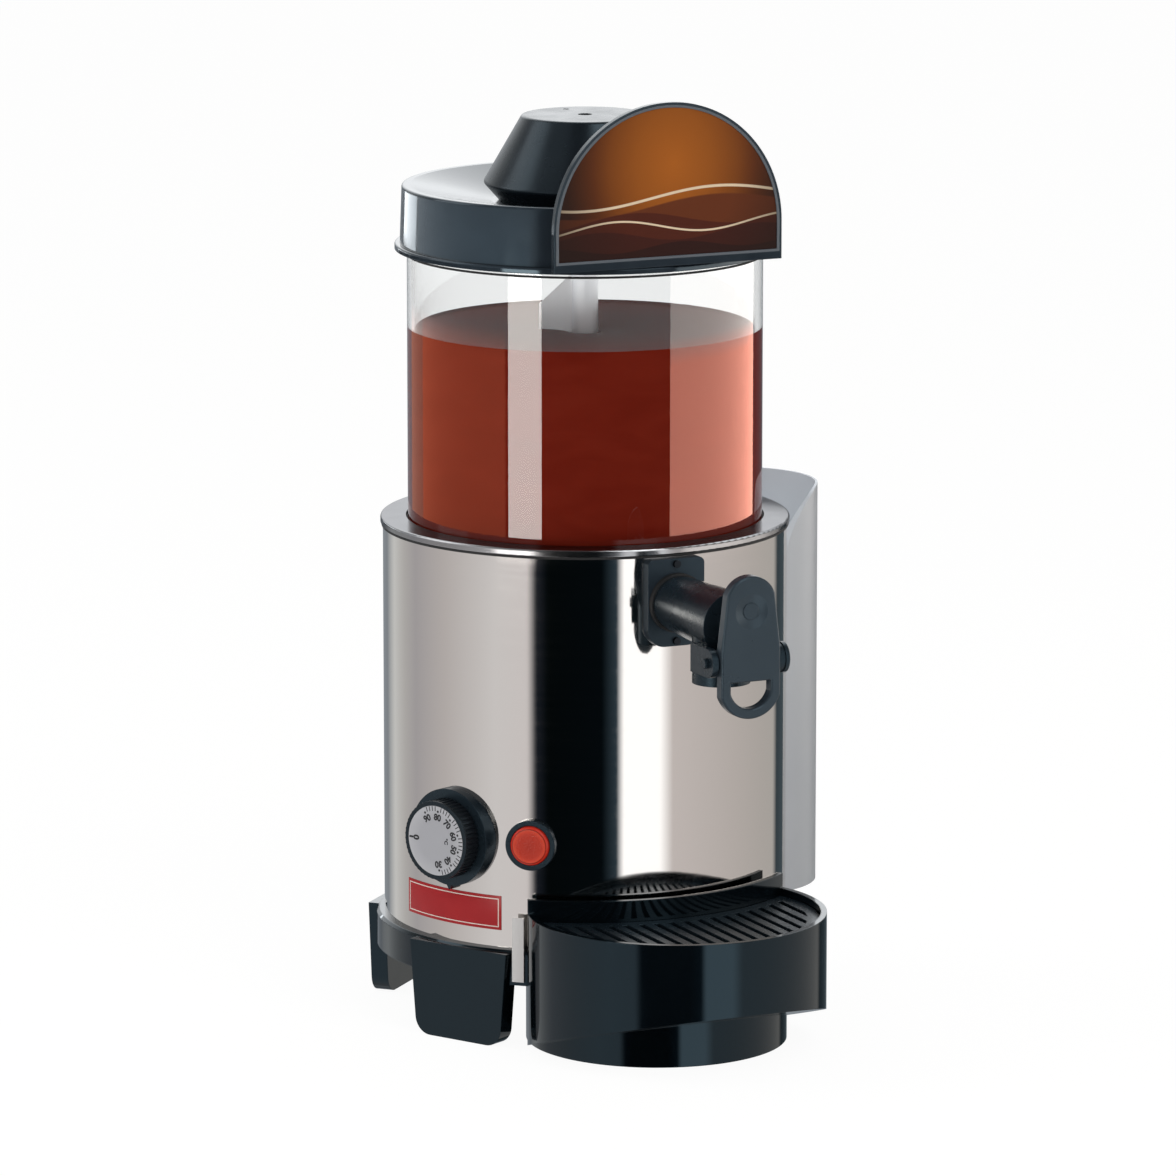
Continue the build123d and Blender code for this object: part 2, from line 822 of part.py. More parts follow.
with BuildPart() as thermostat_spindle:
    stud(radial_plane(knob_angle, spindle_end, control_height), spindle_radius, -spindle_length)

with BuildPart() as thermostat_bulb:
    bulb_plane = radial_plane(knob_angle, bulb_distance, bulb_height)
    with BuildSketch(Plane(origin=bulb_plane.origin, x_dir=(0, 0, 1), z_dir=-bulb_plane.x_dir)):
        Circle(bulb_radius)
    extrude(amount=bulb_length)
    with BuildLine(Plane(origin=bulb_plane.origin, x_dir=bulb_plane.x_dir, z_dir=(0, 0, 1))) as capillary:
        FilletPolyline(
            (0, 0),
            (thermostat_width / 4, 0),
            (thermostat_width / 4, bulb_distance - thermostat_back),
            radius=capillary_bend,
        )
    with BuildSketch(Plane(origin=bulb_plane.origin, x_dir=(0, 0, 1), z_dir=bulb_plane.x_dir)):
        Circle(capillary_radius)
    sweep(path=capillary.wires()[0])

with BuildPart() as bulb_clip:
    clip_plane = radial_plane(knob_angle, bulb_distance, bulb_height)
    clip_section = Plane(origin=clip_plane.origin, x_dir=clip_plane.z_dir, z_dir=-clip_plane.x_dir)
    clip_reach = bulb_radius + clip_sheet + clip_foot
    with BuildSketch(clip_section.offset(bulb_length / 3)):
        Circle(bulb_radius + slip_gap + clip_sheet)
        with Locations((0, bulb_radius)):
            Rectangle(2 * clip_reach, clip_sheet, align=(Align.CENTER, Align.MAX))
        with Locations((0, bulb_radius)):
            Rectangle(4 * clip_foot, 2 * clip_foot, align=(Align.CENTER, Align.MIN), mode=Mode.SUBTRACT)
            Rectangle(
                2 * (bulb_radius + slip_gap),
                bulb_radius,
                align=(Align.CENTER, Align.MAX),
                mode=Mode.SUBTRACT,
            )
        Circle(bulb_radius + slip_gap, mode=Mode.SUBTRACT)
    extrude(amount=clip_width)

with BuildPart() as dial_bezel:
    with BuildSketch(radial_plane(knob_angle, dial_bezel_front, control_height)):
        Circle(dial_bezel_radius)
        with BuildLine():
            Polyline(
                (-pointer_width / 2, pointer_height - dial_bezel_radius),
                (pointer_width / 2, pointer_height - dial_bezel_radius),
                (0, -pointer_height - dial_bezel_radius),
                close=True,
            )
        make_face()
        Circle(thermostat_bush + slip_gap, mode=Mode.SUBTRACT)
    extrude(amount=-2 * dial_bezel_proud)
    turned((0, ledge), (body_radius, ledge), (body_radius, jacket_top), (0, jacket_top), mode=Mode.SUBTRACT)

with BuildPart() as knob:
    with BuildSketch(radial_plane(knob_angle, knob_back, control_height)):
        Circle(knob_radius)
        with PolarLocations(knob_radius, knurl_count):
            Circle(knurl_radius, mode=Mode.SUBTRACT)
    extrude(amount=knob_depth)
    stud(radial_plane(knob_angle, knob_front, control_height), dial_radius, -dial_thickness, Mode.SUBTRACT)
    stud(radial_plane(knob_angle, spindle_end, control_height), spindle_radius, -knob_depth, Mode.SUBTRACT)

with BuildPart() as dial_face:
    stud(radial_plane(knob_angle, knob_front, control_height), dial_radius, -dial_thickness)

# Lit push button: black housing through the jacket, red cap sliding in it
with BuildPart() as switch_housing:
    switch_face = radial_plane(switch_angle, body_radius + switch_proud, control_height)
    stud(switch_face, switch_bezel_radius, -2 * switch_proud)
    turned((0, ledge), (body_radius, ledge), (body_radius, jacket_top), (0, jacket_top), mode=Mode.SUBTRACT)
    stud(switch_face, switch_barrel_radius, -switch_barrel_length)
    stud(switch_face, button_radius + running_gap, -button_depth - button_travel, Mode.SUBTRACT)

with BuildPart() as switch_nut:
    with BuildSketch(radial_plane(switch_angle, switch_nut_front, control_height)):
        RegularPolygon(switch_nut_radius, 6)
        Circle(switch_barrel_radius, mode=Mode.SUBTRACT)
    extrude(amount=-switch_nut_height)

with BuildPart() as switch_button:
    stud(
        radial_plane(switch_angle, body_radius + switch_proud + button_proud, control_height),
        button_radius,
        -button_depth,
    )
    button_rims = switch_button.edges().filter_by(GeomType.CIRCLE)
    fillet(button_rims.sort_by_distance((0, 0, control_height))[-1], button_round)

# Filler pocket: open-topped sheet on the right side, with a sloping floor into the bath's duct
with BuildPart() as filler_pocket:
    with BuildSketch(Plane.XY.offset(pocket_bottom)):
        with Locations((pocket_centre, 0)):
            Circle(pocket_radius)
        Circle(body_radius, mode=Mode.SUBTRACT)
    extrude(amount=pocket_top - pocket_bottom)
    with BuildSketch(Plane.XY.offset(pocket_bottom + pocket_sheet)):
        with Locations((pocket_centre, 0)):
            Circle(pocket_radius - pocket_sheet)
    extrude(amount=pocket_top, mode=Mode.SUBTRACT)
    with BuildSketch(Plane.XY.offset(pocket_bottom)):
        Circle(body_radius + pocket_sheet)
        Circle(body_radius, mode=Mode.SUBTRACT)
        with Locations((pocket_centre, 0)):
            Circle(pocket_radius, mode=Mode.INTERSECT)
            Rectangle(
                2 * pocket_radius, 2 * (pocket_half_width - pocket_flange), mode=Mode.SUBTRACT
            )
    extrude(amount=pocket_flange_height)
    for angle, height in pocket_screw_spots:
        stud(radial_plane(angle, lip_radius + pocket_sheet, height), screw_radius, -wall_cut, Mode.SUBTRACT)
    with BuildSketch(Plane.YZ):
        with BuildLine():
            sweep_line = Spline(
                (-pocket_half_width, pocket_front_top),
                (pocket_sweep - pocket_half_width, pocket_top),
                tangents=[(0, 1), (1, 0)],
            )
            Polyline(
                sweep_line @ 1,
                (pocket_sweep - pocket_half_width, pocket_top + pocket_rise),
                (-2 * pocket_half_width, pocket_top + pocket_rise),
                (-2 * pocket_half_width, pocket_front_top),
                sweep_line @ 0,
            )
        make_face()
    extrude(amount=2 * body_radius, mode=Mode.SUBTRACT)
    turned(
        (0, lip_bottom - ring_gasket_height - running_gap),
        (lip_radius + running_gap, lip_bottom - ring_gasket_height - running_gap),
        (lip_radius + running_gap, pocket_top + pocket_rise),
        (0, pocket_top + pocket_rise),
        mode=Mode.SUBTRACT,
    )

with BuildPart() as pocket_floor:
    slope = radians(chute_slope)
    chute_plane = Plane(
        origin=(body_radius, 0, chute_height),
        x_dir=(cos(slope), 0, sin(slope)),
        z_dir=(-sin(slope), 0, cos(slope)),
    )
    with BuildSketch(Plane.XY.offset(chute_height - pocket_radius)):
        with Locations((pocket_centre, 0)):
            Circle(pocket_radius - pocket_sheet)
        Circle(body_radius, mode=Mode.SUBTRACT)
        Rectangle(2 * duct_mouth, duct_width, mode=Mode.SUBTRACT)
    extrude(amount=2 * pocket_radius)
    split(bisect_by=chute_plane, keep=Keep.TOP)
    split(bisect_by=chute_plane.offset(pocket_sheet), keep=Keep.BOTTOM)

with BuildPart() as filler_duct:
    with BuildSketch(radial_plane(90, duct_mouth, duct_middle)):
        Rectangle(duct_width, duct_height)
        Rectangle(duct_width - 2 * sheet, duct_height - 2 * sheet, mode=Mode.SUBTRACT)
    extrude(amount=bath_radius - sheet - duct_mouth)

# Cord gland at the back
with BuildPart() as cord_gland:
    with BuildSketch(radial_plane(180, body_radius + gland_proud, gland_height)):
        RegularPolygon(gland_width / 2, 6, major_radius=False)
    extrude(amount=-2 * gland_proud)
    turned((0, ledge), (body_radius, ledge), (body_radius, jacket_top), (0, jacket_top), mode=Mode.SUBTRACT)
    stud(radial_plane(180, body_radius + gland_proud / 2, gland_height), gland_barrel, -gland_barrel_length)
    gland_mouth = radial_plane(180, lip_radius + gland_proud, gland_height)
    stud(gland_mouth, gland_bore, -body_radius / 2, Mode.SUBTRACT)

with BuildPart() as gland_nut:
    with BuildSketch(radial_plane(180, gland_nut_front, gland_height)):
        RegularPolygon(gland_width / 2, 6)
        Circle(gland_barrel, mode=Mode.SUBTRACT)
    extrude(amount=-gland_nut_height)

# Lid: a cap over the tank's rim, dished on top, with a hollow grip hub
with BuildPart() as lid_shell:
    turned(
        (lid_bore, lid_bottom),
        (lid_flange_radius, lid_bottom),
        (lid_flange_radius, lid_flange_top),
        (lid_drum_radius, lid_flange_top),
        (lid_top_radius, lid_top),
        (dish_edge, lid_top),
        (dish_flat, dish_floor),
        (0, dish_floor),
        (0, dish_floor - lid_skin),
        (dish_flat, dish_floor - lid_skin),
        (lid_seat_bore, dish_under_seat),
        (lid_seat_bore, lid_seat),
        (lid_bore, lid_seat),
        rounds=[
            ((lid_flange_radius, lid_flange_top), lid_flange_height / 3),
            ((lid_top_radius, lid_top), lid_rim_width / 3),
            ((dish_edge, lid_top), lid_rim_width / 3),
        ],
    )
    for plane in hub_screw_planes:
        stud(plane, screw_radius, -2 * lid_skin, Mode.SUBTRACT)
    for plane in sign_screw_planes:
        stud(plane, screw_radius, -sign_screw_length, Mode.SUBTRACT)

with BuildPart() as lid_hub:
    turned(
        (hub_foot_radius - hub_wall, dish_floor),
        (hub_foot_radius, dish_floor),
        (hub_radius, dish_floor + hub_waist_height),
        (hub_top_radius, hub_top),
        (0, hub_top),
        (0, hub_top - hub_wall),
        (hub_top_radius - hub_wall, hub_top - hub_wall),
        (hub_radius - hub_wall, dish_floor + hub_waist_height),
        rounds=[
            ((hub_radius, dish_floor + hub_waist_height), hub_wall / 2),
            ((hub_top_radius, hub_top), hub_wall / 2),
        ],
    )
    with BuildSketch(Plane.XY.offset(dish_floor)):
        with PolarLocations(hub_boss_distance, 3, start_angle=hub_boss_angle):
            Circle(hub_boss)
            Circle(screw_radius, mode=Mode.SUBTRACT)
    extrude(amount=hub_height - hub_wall)
    with Locations((0, 0, hub_top)):
        Hole(hub_hole, 2 * hub_wall)
    with PolarLocations(hub_vent_distance, 1, start_angle=hub_vent_angle):
        with Locations((0, 0, hub_top)):
            Hole(hub_vent, 2 * hub_wall)

with BuildPart() as hub_screws:
    for plane in hub_screw_planes:
        screw(plane, hub_screw_length)


def sign_outline(inset, distance, sill=0):
    """The sign's arched face, drawn in from its edge and up from its sill, in front of the axis."""
    with BuildSketch(radial_plane(0, distance, sign_arc_height)) as outline:
        Circle(sign_radius - inset)
        Rectangle(2 * sign_radius, 2 * sign_radius, align=(Align.CENTER, Align.MAX), mode=Mode.SUBTRACT)
        Rectangle(
            2 * (sign_radius - inset),
            sign_arc_height - sign_bottom - inset - sill,
            align=(Align.CENTER, Align.MAX),
        )
    return outline.sketch


with BuildPart() as sign_frame:
    extrude(sign_outline(0, sign_front), amount=-sign_thickness)
    extrude(sign_outline(sign_edge, sign_front, sign_sill), amount=-sign_recess, mode=Mode.SUBTRACT)
    with BuildSketch(radial_plane(0, sign_back, sign_bottom)):
        Rectangle(sign_pad_width, sign_pad_height, align=(Align.CENTER, Align.MIN))
    extrude(amount=-sign_pad_depth)
    turned(
        (0, lid_flange_top),
        (lid_drum_radius, lid_flange_top),
        (lid_top_radius, lid_top),
        (0, lid_top),
        mode=Mode.SUBTRACT,
    )
    for plane in sign_screw_planes:
        stud(plane, screw_radius, -sign_screw_length, Mode.SUBTRACT)

with BuildPart() as sign_bezel:
    extrude(sign_outline(sign_edge, sign_front, sign_sill), amount=-sign_recess)
    bezel_inside = sign_outline(sign_edge + sign_bezel_width, sign_front, sign_sill)
    extrude(bezel_inside, amount=-sign_recess, mode=Mode.SUBTRACT)

with BuildPart() as sign_panel:
    panel_back = sign_outline(sign_edge + sign_bezel_width, sign_front - sign_recess, sign_sill)
    extrude(panel_back, amount=sign_panel_thickness)

with BuildPart() as sign_screws:
    for plane in sign_screw_planes:
        screw(plane, sign_screw_length)

# Tap: bracket plate, gasket, barrel with a downward spout, sprung plunger and lever
with BuildPart() as tap_bracket:
    with BuildSketch(radial_plane(0, bracket_front, tap_height)):
        Rectangle(tap_bracket_width, tap_bracket_height)
        fillet(vertices().group_by(Axis.Y)[0], tap_bracket_corner)
        fillet(vertices().group_by(Axis.Y)[-1], tap_bracket_corner / 3)
        Circle(neck_radius + slip_gap, mode=Mode.SUBTRACT)
    extrude(amount=-2 * tap_bracket_thickness)
    turned((0, ledge), (body_radius, ledge), (body_radius, jacket_top), (0, jacket_top), mode=Mode.SUBTRACT)
    for plane in bracket_screw_planes:
        stud(plane, bracket_screw_radius, -2 * tap_bracket_thickness, Mode.SUBTRACT)

with BuildPart() as bracket_screws:
    for plane in bracket_screw_planes:
        stud(plane, bracket_screw_head, screw_head_height)
        stud(plane, bracket_screw_radius, -bracket_screw_length)

with BuildPart() as tap_gasket:
    with BuildSketch(radial_plane(0, bracket_front, tap_height)):
        Circle(tap_gasket_radius)
        Circle(neck_radius + slip_gap, mode=Mode.SUBTRACT)
    extrude(amount=tap_gasket_length)

with BuildPart() as tap_barrel:
    with BuildSketch(radial_plane(0, barrel_start, tap_height)):
        Circle(barrel_radius)
    extrude(amount=barrel_length, taper=-barrel_flare)
    with BuildSketch(Plane.XY.offset(spout_bottom)):
        with Locations((0, -spout_distance)):
            Circle(spout_radius)
    extrude(amount=spout_drop)
    with BuildSketch(Plane.XZ.offset(barrel_front - yoke_depth)):
        with Locations((0, pivot_height)):
            Rectangle(2 * ear_outer, 2 * ear_radius)
    extrude(amount=yoke_depth)
    for start in (-ear_outer, ear_inner):
        with BuildSketch(Plane.YZ.offset(start)):
            with Locations((-pivot_distance, pivot_height)):
                Circle(ear_radius)
                Rectangle(pivot_ahead + yoke_depth, 2 * ear_radius, align=(Align.MIN, Align.CENTER))
        extrude(amount=ear_thickness)
    stud(radial_plane(0, barrel_start, tap_height), neck_radius + slip_gap, neck_grip, Mode.SUBTRACT)
    stud(radial_plane(0, neck_end, tap_height), seat_bore, seat_length, Mode.SUBTRACT)
    stud(radial_plane(0, chamber_start, tap_height), barrel_bore, chamber_length, Mode.SUBTRACT)
    stud(radial_plane(0, chamber_start, tap_height), stem_radius + slip_gap, barrel_length, Mode.SUBTRACT)
    stud(radial_plane(0, barrel_front, tap_height), spring_pocket, -spring_pocket_depth, Mode.SUBTRACT)
    with BuildSketch(Plane.XY.offset(spout_bottom)):
        with Locations((0, -spout_distance)):
            Circle(spout_bore)
    extrude(amount=spout_bore_height, mode=Mode.SUBTRACT)
    with BuildSketch(Plane.YZ.offset(-ear_outer)):
        with Locations((-pivot_distance, pivot_height)):
            Circle(pivot_radius + slip_gap)
    extrude(amount=2 * ear_outer, mode=Mode.SUBTRACT)

with BuildPart() as tap_plunger:
    with BuildSketch(Plane.YZ):
        with BuildLine():
            Polyline(
                (-stem_front, tap_height),
                (seal_length + poppet_length - neck_end, tap_height),
                (seal_length + poppet_length - neck_end, tap_height + poppet_radius),
                (seal_length - neck_end, tap_height + poppet_radius),
                (seal_length - neck_end, tap_height + stem_radius),
                (stem_button_length - stem_front, tap_height + stem_radius),
                (stem_button_length - stem_front, tap_height + stem_button_radius),
                (dome_height - stem_front, tap_height + stem_button_radius),
            )
            CenterArc(
                (dome_radius - stem_front, tap_height),
                dome_radius,
                180 - dome_turn,
                dome_turn,
            )
        make_face()
    revolve(axis=Axis((0, 0, tap_height), (0, 1, 0)))

with BuildPart() as plunger_seal:
    with BuildSketch(radial_plane(0, neck_end - running_gap, tap_height)):
        Circle(poppet_radius)
        Circle(stem_radius, mode=Mode.SUBTRACT)
    extrude(amount=running_gap - seal_length)

with BuildPart() as tap_spring:
    with BuildLine() as spring_path:
        Helix(
            spring_length / spring_turns,
            spring_length,
            spring_radius,
            center=(0, -spring_start, tap_height),
            direction=(0, -1, 0),
        )
    with BuildSketch(Plane(origin=spring_path.line @ 0, z_dir=spring_path.line % 0)):
        Circle(spring_wire)
    sweep(is_frenet=True)

spring_points = [spring_path.line @ (step / spring_steps) for step in range(spring_steps + 1)]
half_turn = spring_steps // (2 * spring_turns)
spring_gap = min(
    (near - far).length
    for step, near in enumerate(spring_points)
    for far in spring_points[step + half_turn :]
)
print(f"tap spring: least gap between turns {spring_gap - 2 * spring_wire:.2f} mm")

with BuildPart() as tap_lever:
    with BuildSketch(radial_plane(0, lever_front, tap_height)):
        with BuildLine():
            crown = ThreePointArc(
                (-lever_top_width / 2, lever_shoulder_rise),
                (0, lever_rise),
                (lever_top_width / 2, lever_shoulder_rise),
            )
            chin = ThreePointArc(
                (lever_width / 2, -lever_chin_drop), (0, -lever_fall), (-lever_width / 2, -lever_chin_drop)
            )
            Polyline(crown @ 1, (lever_width / 2, -lever_hip_drop), chin @ 0)
            Polyline(chin @ 1, (-lever_width / 2, -lever_hip_drop), crown @ 0)
        make_face()
        with BuildLine():
            finger_arc = ThreePointArc(
                (finger_width / 2, -finger_middle_drop),
                (0, -finger_bottom_drop),
                (-finger_width / 2, -finger_middle_drop),
            )
            Polyline(
                finger_arc @ 1,
                (-finger_width / 2, -finger_top_drop),
                (finger_width / 2, -finger_top_drop),
                finger_arc @ 0,
            )
        make_face(mode=Mode.SUBTRACT)
    extrude(amount=-lever_thickness)
    fillet(tap_lever.faces().sort_by(Axis.Y)[0].edges(), lever_edge)
    with BuildSketch(Plane.YZ.offset(-lever_width / 2)):
        with Locations((-pivot_distance, pivot_height)):
            Circle(lever_hub)
    extrude(amount=lever_width)
    with BuildSketch(Plane.YZ.offset(-lever_width)):
        with Locations((-pivot_distance, pivot_height)):
            Circle(pivot_radius + slip_gap)
    extrude(amount=2 * lever_width, mode=Mode.SUBTRACT)
    with Locations((0, -lever_front - thumb_ball + thumb_depth, tap_height + thumb_rise)):
        Sphere(thumb_ball, mode=Mode.SUBTRACT)
    stud(radial_plane(0, lever_front - thumb_depth / 2, tap_height + thumb_rise), thumb_boss, -thumb_depth)

with BuildPart() as pivot_pin:
    with BuildSketch(Plane.YZ.offset(-ear_outer - pivot_head_length)):
        with Locations((-pivot_distance, pivot_height)):
            Circle(pivot_radius)
    extrude(amount=2 * ear_outer + pivot_head_length)
    with BuildSketch(Plane.YZ.offset(ear_outer)):
        with Locations((-pivot_distance, pivot_height)):
            Circle(pivot_head_radius)
    extrude(amount=pivot_head_length)


# Drip tray: a round collar in front of the body, on a foot that slides under the base
def tray_plan(inset, height):
    """The collar's outline from above, drawn in from its edge, hollowed by the body behind it."""
    with BuildSketch(Plane.XY.offset(height)) as plan:
        with Locations((0, -tray_centre)):
            Circle(tray_radius - inset)
        Circle(tray_back + inset, mode=Mode.SUBTRACT)
    return plan.sketch


skirt_turn = radians(tray_skirt_slope)
skirt_plane = Plane(
    origin=(0, -tray_centre, tray_skirt_height),
    x_dir=(1, 0, 0),
    z_dir=(0, sin(skirt_turn), cos(skirt_turn)),
)

with BuildPart() as tray_hollow:
    extrude(tray_plan(tray_wall + tray_ledge, tray_lift), amount=tray_step)
    split(bisect_by=skirt_plane.offset(tray_wall), keep=Keep.TOP)
    extrude(tray_plan(tray_wall, tray_step), amount=tray_rim)
    with BuildSketch(Plane.XY.offset(tray_lift + tray_wall)):
        with Locations((0, -foot_centre)):
            Circle(foot_radius - tray_wall)
    extrude(amount=foot_top - tray_lift - 2 * tray_wall)

with BuildPart() as drip_tray:
    extrude(tray_plan(0, tray_lift), amount=tray_rim - tray_lift)
    split(bisect_by=skirt_plane, keep=Keep.TOP)
    with BuildSketch(Plane.XY.offset(tray_lift)):
        with Locations((0, -foot_centre)):
            Circle(foot_radius)
    extrude(amount=foot_top - tray_lift)
    add(tray_hollow.part, mode=Mode.SUBTRACT)
    with BuildSketch(Plane.XY.offset(tray_rim)):
        Circle(tray_back + tray_wall)
        Circle(tray_back, mode=Mode.SUBTRACT)
        with Locations((0, -tray_centre)):
            Circle(tray_radius, mode=Mode.INTERSECT)
    extrude(amount=tray_back_rise)

with BuildPart() as drip_grid:
    extrude(tray_plan(tray_wall + grid_fit, grid_top), amount=-grid_thickness)
    with BuildSketch(Plane.XY.offset(grid_top)):
        with Locations((0, -tray_centre)):
            with GridLocations(slot_pitch, 0, slot_count, 1):
                Rectangle(slot_width, 2 * tray_radius)
        add(tray_plan(tray_wall + grid_fit + grid_border, 0), mode=Mode.INTERSECT)
    extrude(amount=-grid_thickness, mode=Mode.SUBTRACT)

with BuildPart() as tray_guides:
    for angle in (-guide_angle, guide_angle):
        with BuildSketch(radial_plane(angle, base_radius - guide_thickness, guide_bottom)):
            Rectangle(guide_width, guide_top - guide_bottom, align=(Align.CENTER, Align.MIN))
        extrude(amount=3 * guide_thickness)
    turned((0, 0), (base_radius, 0), (base_radius, body_top), (0, body_top), mode=Mode.SUBTRACT)
    guide_outer = base_radius + guide_thickness
    turned((0, 0), (guide_outer, 0), (guide_outer, body_top), (0, body_top), mode=Mode.INTERSECT)

pieces = {
    "base_moulding": base_moulding,
    "floor_plate": floor_plate,
    "floor_screws": floor_screws,
    "body_shell": body_shell,
    "jacket_screws": jacket_screws,
    "top_ring": top_ring,
    "ring_gasket": ring_gasket,
    "tank_seal": tank_seal,
    "water_bath": water_bath,
    "heating_element": heating_element,
    "element_nuts": element_nuts,
    "centre_column": centre_column,
    "column_nuts": column_nuts,
    "tank_washer": tank_washer,
    "tank": tank,
    "neck_seal": neck_seal,
    "motor_bracket": motor_bracket,
    "gearbox": gearbox,
    "motor": motor,
    "output_shaft": output_shaft,
    "shaft_coupling": shaft_coupling,
    "drive_shaft": drive_shaft,
    "shaft_bushes": shaft_bushes,
    "drive_cap": drive_cap,
    "stirrer": stirrer,
    "thermostat_body": thermostat_body,
    "thermostat_spindle": thermostat_spindle,
    "thermostat_bulb": thermostat_bulb,
    "bulb_clip": bulb_clip,
    "dial_bezel": dial_bezel,
    "knob": knob,
    "dial_face": dial_face,
    "switch_housing": switch_housing,
    "switch_nut": switch_nut,
    "switch_button": switch_button,
    "filler_pocket": filler_pocket,
    "pocket_floor": pocket_floor,
    "filler_duct": filler_duct,
    "cord_gland": cord_gland,
    "gland_nut": gland_nut,
    "lid_shell": lid_shell,
    "lid_hub": lid_hub,
    "hub_screws": hub_screws,
    "sign_frame": sign_frame,
    "sign_bezel": sign_bezel,
    "sign_panel": sign_panel,
    "sign_screws": sign_screws,
    "tap_bracket": tap_bracket,
    "bracket_screws": bracket_screws,
    "tap_gasket": tap_gasket,
    "tap_barrel": tap_barrel,
    "tap_plunger": tap_plunger,
    "plunger_seal": plunger_seal,
    "tap_spring": tap_spring,
    "tap_lever": tap_lever,
    "pivot_pin": pivot_pin,
    "drip_tray": drip_tray,
    "drip_grid": drip_grid,
    "tray_guides": tray_guides,
}

# All the pieces move over together, so that the origin is under the middle of the whole machine's box
middle = Compound([piece.part for piece in pieces.values()]).bounding_box().center()
to_origin = Location((-middle.X, -middle.Y, 0))
print(f"body axis: x {-middle.X:.3f}, y {-middle.Y:.3f} mm")

os.makedirs("parts", exist_ok=True)
for name, piece in pieces.items():
    solid = piece.part.moved(to_origin)
    solid.label = name
    export_step(solid, f"parts/{name}.step")
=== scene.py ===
# %% [markdown]
# # A hot drinks dispenser
# The solids of the machine come from a CAD program, already at their real size and place. This lesson
# dresses them: it sets the camera, the light and the floor, gives every solid a finish that is worked out
# from the real material, and models the few things that are not solids of the machine, such as the drink
# in the tank, the print on the dial and the bare label.

# %% Load the frame
import json
import math

import bmesh
import bpy
from mathutils import Matrix, Vector


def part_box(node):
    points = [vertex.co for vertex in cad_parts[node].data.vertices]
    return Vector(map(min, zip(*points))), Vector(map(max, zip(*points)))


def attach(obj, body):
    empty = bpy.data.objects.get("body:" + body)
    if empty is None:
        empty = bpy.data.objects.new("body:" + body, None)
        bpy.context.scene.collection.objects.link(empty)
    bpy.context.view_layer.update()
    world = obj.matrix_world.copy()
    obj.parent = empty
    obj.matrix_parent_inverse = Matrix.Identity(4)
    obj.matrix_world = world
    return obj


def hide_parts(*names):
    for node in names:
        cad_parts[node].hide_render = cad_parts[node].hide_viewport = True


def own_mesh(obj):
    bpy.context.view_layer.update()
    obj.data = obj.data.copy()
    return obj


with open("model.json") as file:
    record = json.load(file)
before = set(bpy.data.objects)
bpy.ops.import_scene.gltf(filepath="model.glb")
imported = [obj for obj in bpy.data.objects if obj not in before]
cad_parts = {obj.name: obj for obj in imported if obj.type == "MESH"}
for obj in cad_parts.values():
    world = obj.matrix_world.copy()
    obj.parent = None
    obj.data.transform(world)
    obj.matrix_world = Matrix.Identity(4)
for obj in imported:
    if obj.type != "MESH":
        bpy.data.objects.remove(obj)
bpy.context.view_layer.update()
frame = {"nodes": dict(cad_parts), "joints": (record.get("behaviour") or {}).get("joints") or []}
nodes = frame["nodes"]
MM = 0.001

ring_low, ring_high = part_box("top_ring")
AXIS = Vector(((ring_low.x + ring_high.x) / 2, (ring_low.y + ring_high.y) / 2, 0.0))
print("the body stands round the upright line at", [round(value / MM, 2) for value in AXIS])

# %% [markdown]
# ## The camera
# The picture was taken with a long lens from well back: the upright edges hardly converge. The camera
# stands 25 degrees to the machine's left of its tap and looks down by about 11 degrees. A camera is placed
# on a sphere round the point that it looks at, then turned so that its own -Z axis points there.

# %% Place the camera
CAMERA_AZIMUTH, CAMERA_ELEVATION = -25.0, 10.9
CAMERA_DISTANCE = 3.74
LENS_MM, SENSOR_MM = 231.0, 36.0
LOOK_AT = AXIS + Vector((0.0, 0.0, 0.2093))
# The machine's axis lies this far to the left of the picture's middle.
PICTURE_SHIFT = 1.5 * MM


def toward(azimuth, elevation):
    """The direction at a compass angle, 0 at the front and positive to its right, and a rise, in degrees."""
    turn, rise = math.radians(azimuth), math.radians(elevation)
    return Vector((math.sin(turn) * math.cos(rise), -math.cos(turn) * math.cos(rise), math.sin(rise)))


def stand(looker, target, out, distance):
    """Puts a camera or a lamp at a distance from its target and turns it to face the target."""
    looker.location = target + out * distance
    looker.rotation_euler = (-out).to_track_quat("-Z", "Y").to_euler()
    bpy.context.scene.collection.objects.link(looker)


camera_data = bpy.data.cameras.new("picture_camera")
camera_data.lens = LENS_MM
camera_data.sensor_width = SENSOR_MM
camera_data.clip_end = 50.0
camera = bpy.data.objects.new("picture_camera", camera_data)
picture_right = toward(CAMERA_AZIMUTH + 90.0, 0.0)
aim = LOOK_AT + picture_right * PICTURE_SHIFT
stand(camera, aim, toward(CAMERA_AZIMUTH, CAMERA_ELEVATION), CAMERA_DISTANCE)
bpy.context.scene.camera = camera
bpy.context.scene.view_settings.view_transform = "Standard"
print("camera at", [round(value, 3) for value in camera.location])

# %% [markdown]
# ## Helpers for nodes and colours
# A finish is a small tree of nodes. One function adds a node, sets its properties, and fills its sockets
# with values or with the outputs of other nodes. Colours are written as sRGB hex, as a paint program shows
# them, and another function turns them into the linear values that the renderer works with.


# %% Colour and node helpers
def linear(hex_text):
    """The linear colour of an sRGB hex value such as #7f3626."""
    channels = [int(hex_text[place : place + 2], 16) / 255 for place in (1, 3, 5)]
    return (*(c / 12.92 if c <= 0.04045 else ((c + 0.055) / 1.055) ** 2.4 for c in channels), 1.0)


def wire(tree, target, inputs):
    """Fills a node's sockets with values, or with the outputs that feed them."""
    for name, value in inputs.items():
        if isinstance(value, bpy.types.NodeSocket):
            tree.links.new(value, target.inputs[name])
        else:
            target.inputs[name].default_value = value


def node(tree, kind, inputs=None, **settings):
    """Adds one node: settings are its properties, inputs its sockets' values or what feeds them."""
    made = tree.nodes.new(kind)
    for name, value in settings.items():
        setattr(made, name, value)
    wire(tree, made, inputs or {})
    return made


